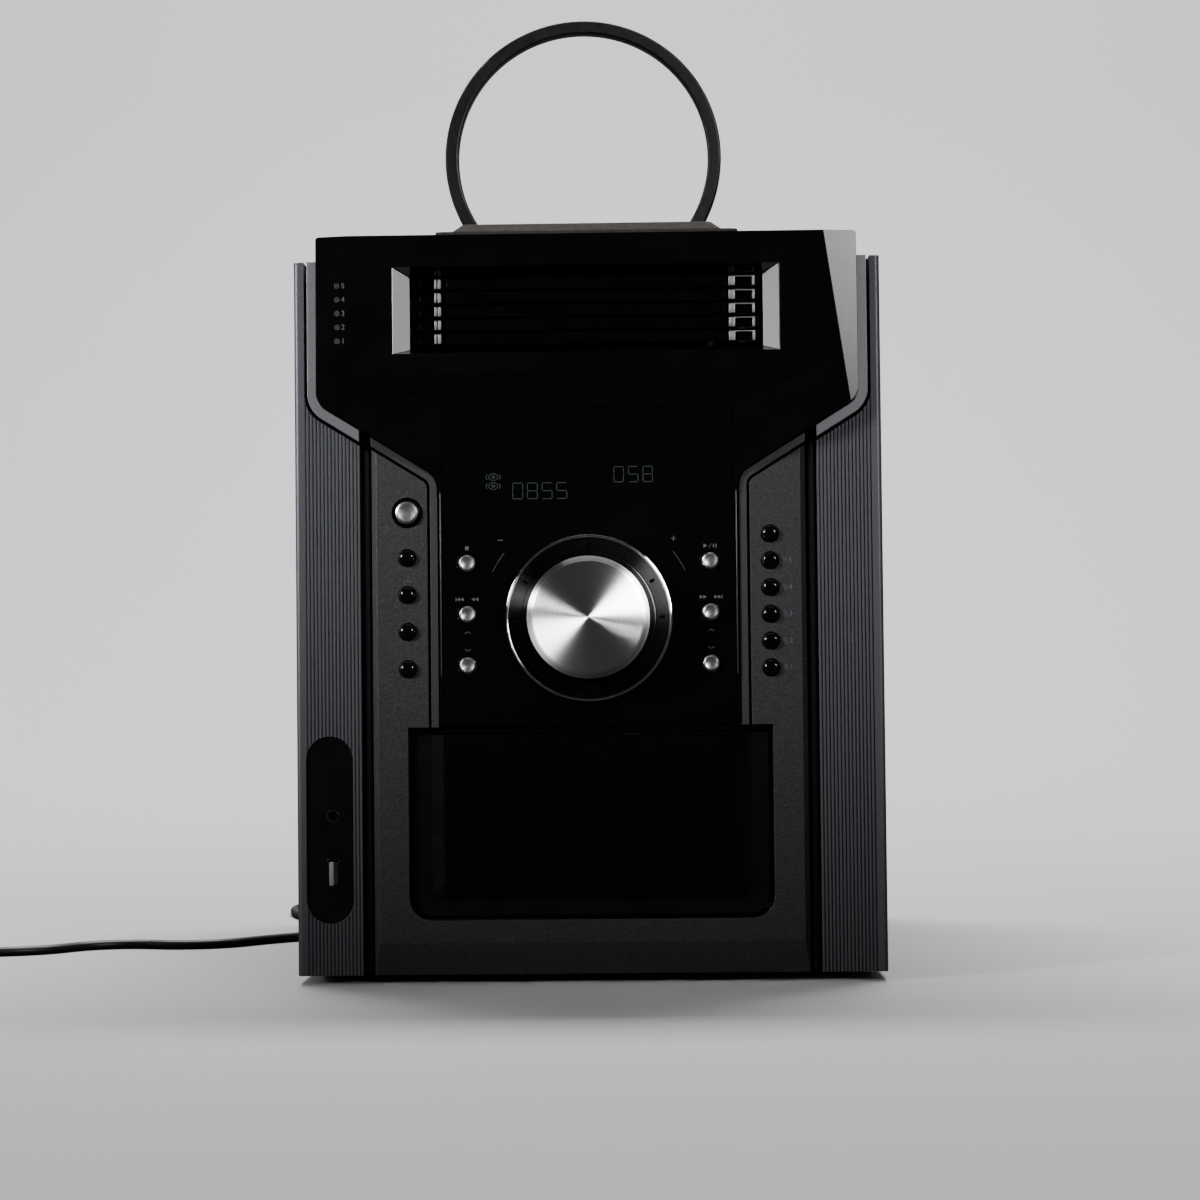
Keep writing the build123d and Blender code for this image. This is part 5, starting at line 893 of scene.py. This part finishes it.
class MINISYSTEM_OT_trims(bpy.types.Operator):
    """Fits the strips beside the column and the dark rods beside the pillars"""

    bl_idname = "minisystem.trims"
    bl_label = "Strips and rods"

    def execute(self, context):
        bm = bmesh.new()
        for side in (-1, 1):
            x = side * STRIP_X
            add_block(bm, *zip((x - STRIP_HALF, x + STRIP_HALF), STRIP_DEPTHS, STRIP_ENDS))
        round_edges(bm, 0.2)
        finish_piece(bm, "column_strips", CABINET, "satin_silver_lacquer")
        bm = bmesh.new()
        for side in (-1, 1):
            x, r = side * ROD_X, ROD_RADIUS
            corners = [
                (0, ROD_FOOT), (r - ROD_CHAMFER, ROD_FOOT), (r, ROD_FOOT + ROD_CHAMFER), (r, ROD_SHOULDER),
            ]
            corners += [(r * math.cos(a), ROD_SHOULDER + r * math.sin(a)) for a in (0.4, 0.8, 1.2)]
            corners += [(0, ROD_SHOULDER + r)]
            line = [bm.verts.new(at(x + u, ROD_DEPTH, z)) for u, z in corners]
            edges = [bm.edges.new(pair) for pair in zip(line, line[1:])]
            spin(bm, line + edges, at(x, ROD_DEPTH, 0), (0, 0, 1), 32)
        close_up(bm)
        finish_piece(bm, "groove_rods", CABINET, "groove_black_abs")
        return {"FINISHED"}


class MINISYSTEM_OT_display(bpy.types.Operator):
    """Draws the unlit figures of the display, with a faint painted glow, on the smoked panel's face"""

    bl_idname = "minisystem.display"
    bl_label = "Display figures"

    def execute(self, context):
        bm = bmesh.new()
        add_segments(bm, "0855", -33.2, 213.6, 4.4, 7.0, 6.5, 0.36)
        add_segments(bm, "058", 11.6, 220.6, 4.2, 6.8, 6.4, 0.36)
        x, squash = -41.8, 0.75
        for z in (223.4, 219.4):
            for radius, count, width in ((2.0, 20, 0.35), (0.7, 10, 0.4)):
                circle = circle_points(x, z, radius, count, squash)
                add_stroke(bm, circle, width, COLUMN_DEPTH, closed=True)
            for side in (-1, 1):
                wing = arc_points(x, z, 3.1, 90 - side * 60, 90 - side * 120, 5, squash)
                add_stroke(bm, wing, 0.35, COLUMN_DEPTH)
        thicken_print(bm, 0.04)
        finish_piece(bm, "display_figures", CABINET, "unlit_phosphor_painted_glow")
        return {"FINISHED"}


class MINISYSTEM_OT_legends(bpy.types.Operator):
    """Prints the symbols and numbers of the keys and of the trays"""

    bl_idname = "minisystem.legends"
    bl_label = "Printed marks"

    def execute(self, context):
        height = context.scene.minisystem_legends.digit_height
        bm = bmesh.new()
        self.transport_marks(bm)
        self.volume_marks(bm)
        self.finish(bm, "column_marks", "smoked_panel")
        bm = bmesh.new()
        for number, z in zip((5, 4, 3, 2, 1), DISC_KEY_Z):
            add_digit(bm, str(number), 89.0, z, height, KEY_PANEL_DEPTH)
            self.disc(bm, 86.3, z, 1.1, KEY_PANEL_DEPTH)
        # open loop above the second black key on the left
        z, radius = 177.0, 0.75
        loop = arc_points(0.8 - BLACK_KEY_X, z, radius, -90, 90)
        loop += arc_points(-0.8 - BLACK_KEY_X, z, radius, 90, 240)
        add_stroke(bm, loop, INK_WIDTH, KEY_PANEL_DEPTH)
        self.finish(bm, "panel_marks", "textured_black")
        bm = bmesh.new()
        for number, z in enumerate(TRAY_Z, start=1):
            add_digit(bm, str(number), -106.9, z - 1.5, height, 0.0)
            self.disc(bm, -109.6, z - 1.5, 1.0, 0.0)
        self.finish(bm, "tray_marks", "gloss_black")
        return {"FINISHED"}

    def finish(self, bm, name, slot):
        """Thickens a set of marks to ink and makes it a piece."""
        thicken_print(bm)
        finish_piece(bm, name, CABINET, "grey_pad_print")

    def triangle(self, bm, x, z, size, way):
        """Solid arrowhead that points to the right for way 1 and to the left for -1."""
        tail, half = x - way * size / 2, size * 0.55
        add_print(bm, [(tail, z - half), (x + way * size / 2, z), (tail, z + half)], COLUMN_DEPTH)

    def bar(self, bm, x, z, width, height):
        """Solid rectangle centred on (x, z)."""
        corners = ((-1, -1), (1, -1), (1, 1), (-1, 1))
        add_print(bm, [(x + i * width / 2, z + j * height / 2) for i, j in corners], COLUMN_DEPTH)

    def disc(self, bm, x, z, radius, depth):
        """Small sign of a disc: a ring round a smaller one."""
        add_stroke(bm, circle_points(x, z, radius, 20), INK_WIDTH, depth, closed=True)
        add_stroke(bm, circle_points(x, z, radius * 0.35, 10), 0.2, depth, closed=True)

    def transport_marks(self, bm):
        """Marks above and between the six silver keys: stop, play, skips and arrowheads."""
        x = SILVER_KEY_X
        stop_level, skip_level = [z + MARK_RISE for z in SILVER_KEY_Z]
        self.bar(bm, -x, stop_level, 1.6, 1.6)
        self.triangle(bm, x - 2.1, stop_level, 1.7, 1)
        slash = [(x - 0.6, stop_level - 1.0), (x + 0.5, stop_level + 1.0)]
        add_stroke(bm, slash, 0.2, COLUMN_DEPTH)
        for step in (1.5, 2.6):
            self.bar(bm, x + step, stop_level, 0.45, 1.7)
        for way in (-1, 1):
            self.bar(bm, way * (x + 5.0), skip_level, 0.35, 1.7)
            for step in (-4.1, -2.5, 2.4, 4.0):
                self.triangle(bm, way * (x + step), skip_level, 1.5, way)
            for level, rise in ((154.7, 0.8), (147.0, -0.8)):
                low, middle = level - rise / 2, way * x
                tip = [(middle - 1.3, low), (middle, level + rise / 2), (middle + 1.3, low)]
                add_stroke(bm, tip, 0.25, COLUMN_DEPTH)

    def volume_marks(self, bm):
        """Minus and plus beside the ring, each with a fine arc under it."""
        level, length, width = 195.4, 2.2, 0.3
        self.bar(bm, -39.0, level, length, width)
        self.bar(bm, 37.6, level, length, width)
        self.bar(bm, 37.6, level, width, length)
        for start, end in ((142, 154), (38, 26)):
            add_stroke(bm, arc_points(0, KNOB_Z, 47.3, start, end, 10), 0.15, COLUMN_DEPTH)


class MINISYSTEM_OT_sockets(bpy.types.Operator):
    """Fits the rings and the tongue of the front sockets, and the power button's black washer"""

    bl_idname = "minisystem.sockets"
    bl_label = "Front sockets"

    def execute(self, context):
        bm = turned(ring_profile(*JACK_RING), SOCKET_X, JACK_Z, 48)
        round_edges(bm, 0.2)
        finish_piece(bm, "jack_contact", CABINET, "polished_black_abs")
        bm = bmesh.new()
        front, back = USB_DEPTHS
        wide, tall = USB_HALF_WIDTH, USB_HALF_HEIGHT
        gap, clear = wide - USB_WALL, tall - USB_WALL
        for left, low, right, high in (
            (-wide, -tall, -gap, tall), (gap, -tall, wide, tall),
            (-gap, -tall, gap, -clear), (-gap, clear, gap, tall),
        ):
            corner = (SOCKET_X + left, front, USB_Z + low)
            add_block(bm, corner, (SOCKET_X + right, back, USB_Z + high))
        round_edges(bm, 0.1)
        finish_piece(bm, "usb_shell", CABINET, "polished_black_abs")
        bm = bmesh.new()
        add_block(bm, *[(SOCKET_X + x, depth, USB_Z + z) for x, depth, z in (TONGUE_LOW, TONGUE_HIGH)])
        round_edges(bm, 0.2)
        finish_piece(bm, "usb_tongue", CABINET, "grey_tongue_abs")
        bm = turned(ring_profile(*POWER_WASHER), -BLACK_KEY_X, POWER_Z, 64)
        round_edges(bm, 0.1)
        finish_piece(bm, "power_washer", CABINET, "polished_black_abs")
        return {"FINISHED"}


class MINISYSTEM_OT_aerial(bpy.types.Operator):
    """Winds the aerial's wire into the groove round its ring"""

    bl_idname = "minisystem.aerial"
    bl_label = "Aerial winding"

    def execute(self, context):
        bm = bmesh.new()
        low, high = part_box("loop_aerial")
        middle = (low + high) / 2
        for turn in range(WIRE_TURNS):
            depth = middle.y / MM - FASCIA_Y + (turn - (WIRE_TURNS - 1) / 2) * WIRE_PITCH
            ring = [
                bm.verts.new(at(high.x / MM - WIRE_INSET + u, depth + v, middle.z / MM))
                for u, v in circle_points(0, 0, WIRE_RADIUS, 8)
            ]
            edges = [bm.edges.new(pair) for pair in zip(ring, ring[1:] + ring[:1])]
            spin(bm, ring + edges, middle, (0, 1, 0), 120)
        close_up(bm)
        finish_piece(bm, "aerial_winding", CABINET, "enamelled_wire")
        return {"FINISHED"}


# The frame's nodes by their finish
DRESSED = {
    "piano_black_abs": "upper_fascia",
    "door_black_abs": "cassette_door socket_plate",
    "smoked_acrylic": "display_window",
    "satin_silver_lacquer": "contour_bands",
    "spark_eroded_abs": "key_panel",
    "metallic_grey_lacquer": "left_pillar right_pillar",
    "satin_black_abs": "front_sockets fan_frame fan_rotor aerial_stand loop_aerial changer_frame"
                       " optical_carriage supply_reel take_up_reel",
    "polished_black_abs": "front_frame display_key mode_key timer_key dimmer_key open_close_key"
                          " disc_key_1 disc_key_2 disc_key_3 disc_key_4 disc_key_5",
    "satin_chromed_abs": "power_button stop_key skip_back_key tuning_key play_key"
                         " skip_forward_key preset_key",
    "glossy_tray_abs": "disc_tray_1 disc_tray_2 disc_tray_3 disc_tray_4 disc_tray_5",
    "display_glass": "display_tube",
    "solder_masked_board": "circuit_boards",
    "deck_aluminium": "cassette_mechanism disc_spindle laser_sled",
    "taupe_matt_lacquer": "top_cover",
    "powder_coated_steel": "left_side_panel right_side_panel rear_panel",
    "zinc_plated_steel": "bottom_chassis cabinet_screws",
    "pressed_rubber": "rubber_feet",
    "rear_sockets_abs": "rear_terminals",
    "laminated_iron": "power_transformer",
}


class MINISYSTEM_OT_finishes(bpy.types.Operator):
    """Gives every part of the frame its finish"""

    bl_idname = "minisystem.finishes"
    bl_label = "Finishes"

    def execute(self, context):
        for finish, names in DRESSED.items():
            dress(finish, *names.split())
        made = set(MATERIALS.values())
        plain = [n for n, o in nodes.items()
                 if not o.hide_render and not {p.material for p in o.material_slots} & made]
        if plain:
            raise RuntimeError(f"without a finish: {plain}")
        return {"FINISHED"}


def backdrop_paper(tone):
    # Seamless backdrop paper: matt, with a trace of fibre. The flat floor is pale for the camera
    # alone, so that it throws hardly any light up at the object.
    material, tree, shader = new_material("backdrop_paper", roughness=0.9)
    grain(tree, shader, 1.5, 0.01, 0.1)
    path = add_node(tree, "LightPath")
    shape = add_node(tree, "NewGeometry")
    facing = add_node(tree, "SeparateXYZ", {"Vector": shape.outputs["Normal"]})
    slope = {"Value": facing.outputs["Z"], "To Min": 0.35, "To Max": 0.0}
    upright = add_node(tree, "MapRange", slope)
    either = {0: path.outputs["Is Camera Ray"], 1: upright.outputs[0]}
    pale = add_node(tree, "Math", either, operation="MAXIMUM")
    tones = {"Factor": pale.outputs[0], 6: linear("#2c2c2c"), 7: (*tone, 1.0)}
    mix = add_node(tree, "Mix", tones, data_type="RGBA")
    tree.links.new(mix.outputs[2], shader.inputs["Base Color"])
    return material


# Softboxes: name, place, aim, size in metres, power in watts and spread of the grid in degrees
LIGHTS = (
    ("top_softbox", (0.0, -0.2, 1.3), (0.0, -0.05, 0.33), (1.1, 0.4), 0.75, 110.0),
    ("left_softbox", (-1.05, -0.85, 0.6), (-0.05, -0.17, 0.26), (0.3, 0.36), 0.56, 19.0),
    ("right_softbox", (0.75, -1.3, 0.75), (0.05, -0.17, 0.4), (0.6, 0.6), 0.54, 17.0),
    ("knob_softbox_left", (-0.8, -1.2, 0.4), (0.0, -0.18, 0.16), (0.12, 0.16), 1.0, 180.0),
    ("knob_softbox_right", (0.75, -1.3, 0.57), (0.0, -0.18, 0.16), (0.26, 0.66), 140.0, 180.0),
    ("backdrop_light", (0.0, 1.2, 3.2), (0.0, 2.2, 0.4), (3.0, 1.0), 225.0, 180.0),
)
ROOM_LIGHT = 0.035
# Backdrop in metres: the floor's front edge, the wall and the radius of the bend between them,
# how far both reach to the sides, and the wall's height
FLOOR_START, WALL_Y, BEND, REACH, WALL_HEIGHT = -0.75, 2.6, 1.2, 6.0, 4.5


class MINISYSTEM_OT_studio(bpy.types.Operator):
    """Builds the pale floor with its backdrop, the softboxes and the surroundings"""

    bl_idname = "minisystem.studio"
    bl_label = "Studio"

    def execute(self, context):
        scene = context.scene
        self.backdrop(scene)
        # the knob's softboxes are flagged off from everything but the knob and the lip round it
        knob_alone = bpy.data.collections.new("knob_alone")
        for name in ("spun_knob", "ring_lip"):
            knob_alone.objects.link(bpy.data.objects[name])
        for name, place, aim, size, power, spread in LIGHTS:
            data = bpy.data.lights.new(name, "AREA")
            data.shape = "RECTANGLE"
            data.size, data.size_y = size
            data.energy = power
            data.spread = math.radians(spread)
            light = bpy.data.objects.new(name, data)
            light.location = place
            light.rotation_mode = "QUATERNION"
            light.rotation_quaternion = (Vector(aim) - Vector(place)).to_track_quat("-Z", "Y")
            scene.collection.objects.link(light)
            if name.startswith("knob"):
                light.light_linking.receiver_collection = knob_alone
        self.surroundings(scene)
        return {"FINISHED"}

    def backdrop(self, scene):
        """Floor and wall as one sheet of paper with a round bend."""
        bm = bmesh.new()
        foot = WALL_Y - BEND
        line = [(FLOOR_START, 0.0), (foot, 0.0)]
        for degrees in range(10, 90, 10):
            a = math.radians(degrees)
            line.append((foot + BEND * math.sin(a), BEND - BEND * math.cos(a)))
        line += [(WALL_Y, BEND), (WALL_Y, WALL_HEIGHT)]
        rows = [[bm.verts.new((x, y, z)) for x in (-REACH, REACH)] for y, z in line]
        for (a, b), (c, d) in zip(rows, rows[1:]):
            bm.faces.new((a, b, d, c))
        mesh = bpy.data.meshes.new("backdrop")
        bm.to_mesh(mesh)
        bm.free()
        mesh.shade_smooth()
        mesh.materials.append(backdrop_paper(scene.minisystem_studio.backdrop))
        backdrop = bpy.data.objects.new("backdrop", mesh)
        scene.collection.objects.link(backdrop)

    def surroundings(self, scene):
        """A dim room that looks pale to the camera."""
        world = bpy.data.worlds.new("studio_room")
        world.use_nodes = True
        tree = world.node_tree
        tree.nodes.clear()
        path = add_node(tree, "LightPath")
        pale = {"Color": linear(PALE_TONE), "Strength": 1.0}
        seen = add_node(tree, "Background", pale)
        dim = {"Color": linear("#ffffff"), "Strength": ROOM_LIGHT}
        room = add_node(tree, "Background", dim)
        ways = {"Fac": path.outputs["Is Camera Ray"], 1: room.outputs[0], 2: seen.outputs[0]}
        mix = add_node(tree, "MixShader", ways)
        add_node(tree, "OutputWorld", {"Surface": mix.outputs[0]})
        scene.world = world


STEPS = (
    MINISYSTEM_OT_camera,
    MINISYSTEM_OT_cord,
    MINISYSTEM_OT_knob,
    MINISYSTEM_OT_window,
    MINISYSTEM_OT_trims,
    MINISYSTEM_OT_display,
    MINISYSTEM_OT_legends,
    MINISYSTEM_OT_sockets,
    MINISYSTEM_OT_aerial,
    MINISYSTEM_OT_finishes,
    MINISYSTEM_OT_studio,
)


class MINISYSTEM_PT_sidebar(bpy.types.Panel):
    """Lists the sizes and the steps that build the mini system"""

    bl_idname = "MINISYSTEM_PT_sidebar"
    bl_label = "Mini system"
    bl_space_type = "VIEW_3D"
    bl_region_type = "UI"
    bl_category = "Mini system"

    def draw(self, context):
        for group in SETTINGS:
            box = self.layout.box()
            values = getattr(context.scene, group)
            for name in values.bl_rna.properties.keys():
                if name not in ("rna_type", "name"):
                    box.prop(values, name)
        for step in STEPS:
            self.layout.operator(step.bl_idname)


SETTINGS = {
    "minisystem_knob": MINISYSTEM_PG_knob,
    "minisystem_cord": MINISYSTEM_PG_cord,
    "minisystem_legends": MINISYSTEM_PG_legends,
    "minisystem_studio": MINISYSTEM_PG_studio,
}


def register():
    for kind in (*SETTINGS.values(), *STEPS, MINISYSTEM_PT_sidebar):
        bpy.utils.register_class(kind)
    for name, kind in SETTINGS.items():
        setattr(bpy.types.Scene, name, bpy.props.PointerProperty(type=kind))


def unregister():
    for name in SETTINGS:
        delattr(bpy.types.Scene, name)
    for kind in reversed((*SETTINGS.values(), *STEPS, MINISYSTEM_PT_sidebar)):
        bpy.utils.unregister_class(kind)


def main():
    """Builds everything in order."""
    register()
    for step in STEPS:
        group, name = step.bl_idname.split(".")
        getattr(getattr(bpy.ops, group), name)()


if __name__ == "__main__":
    main()
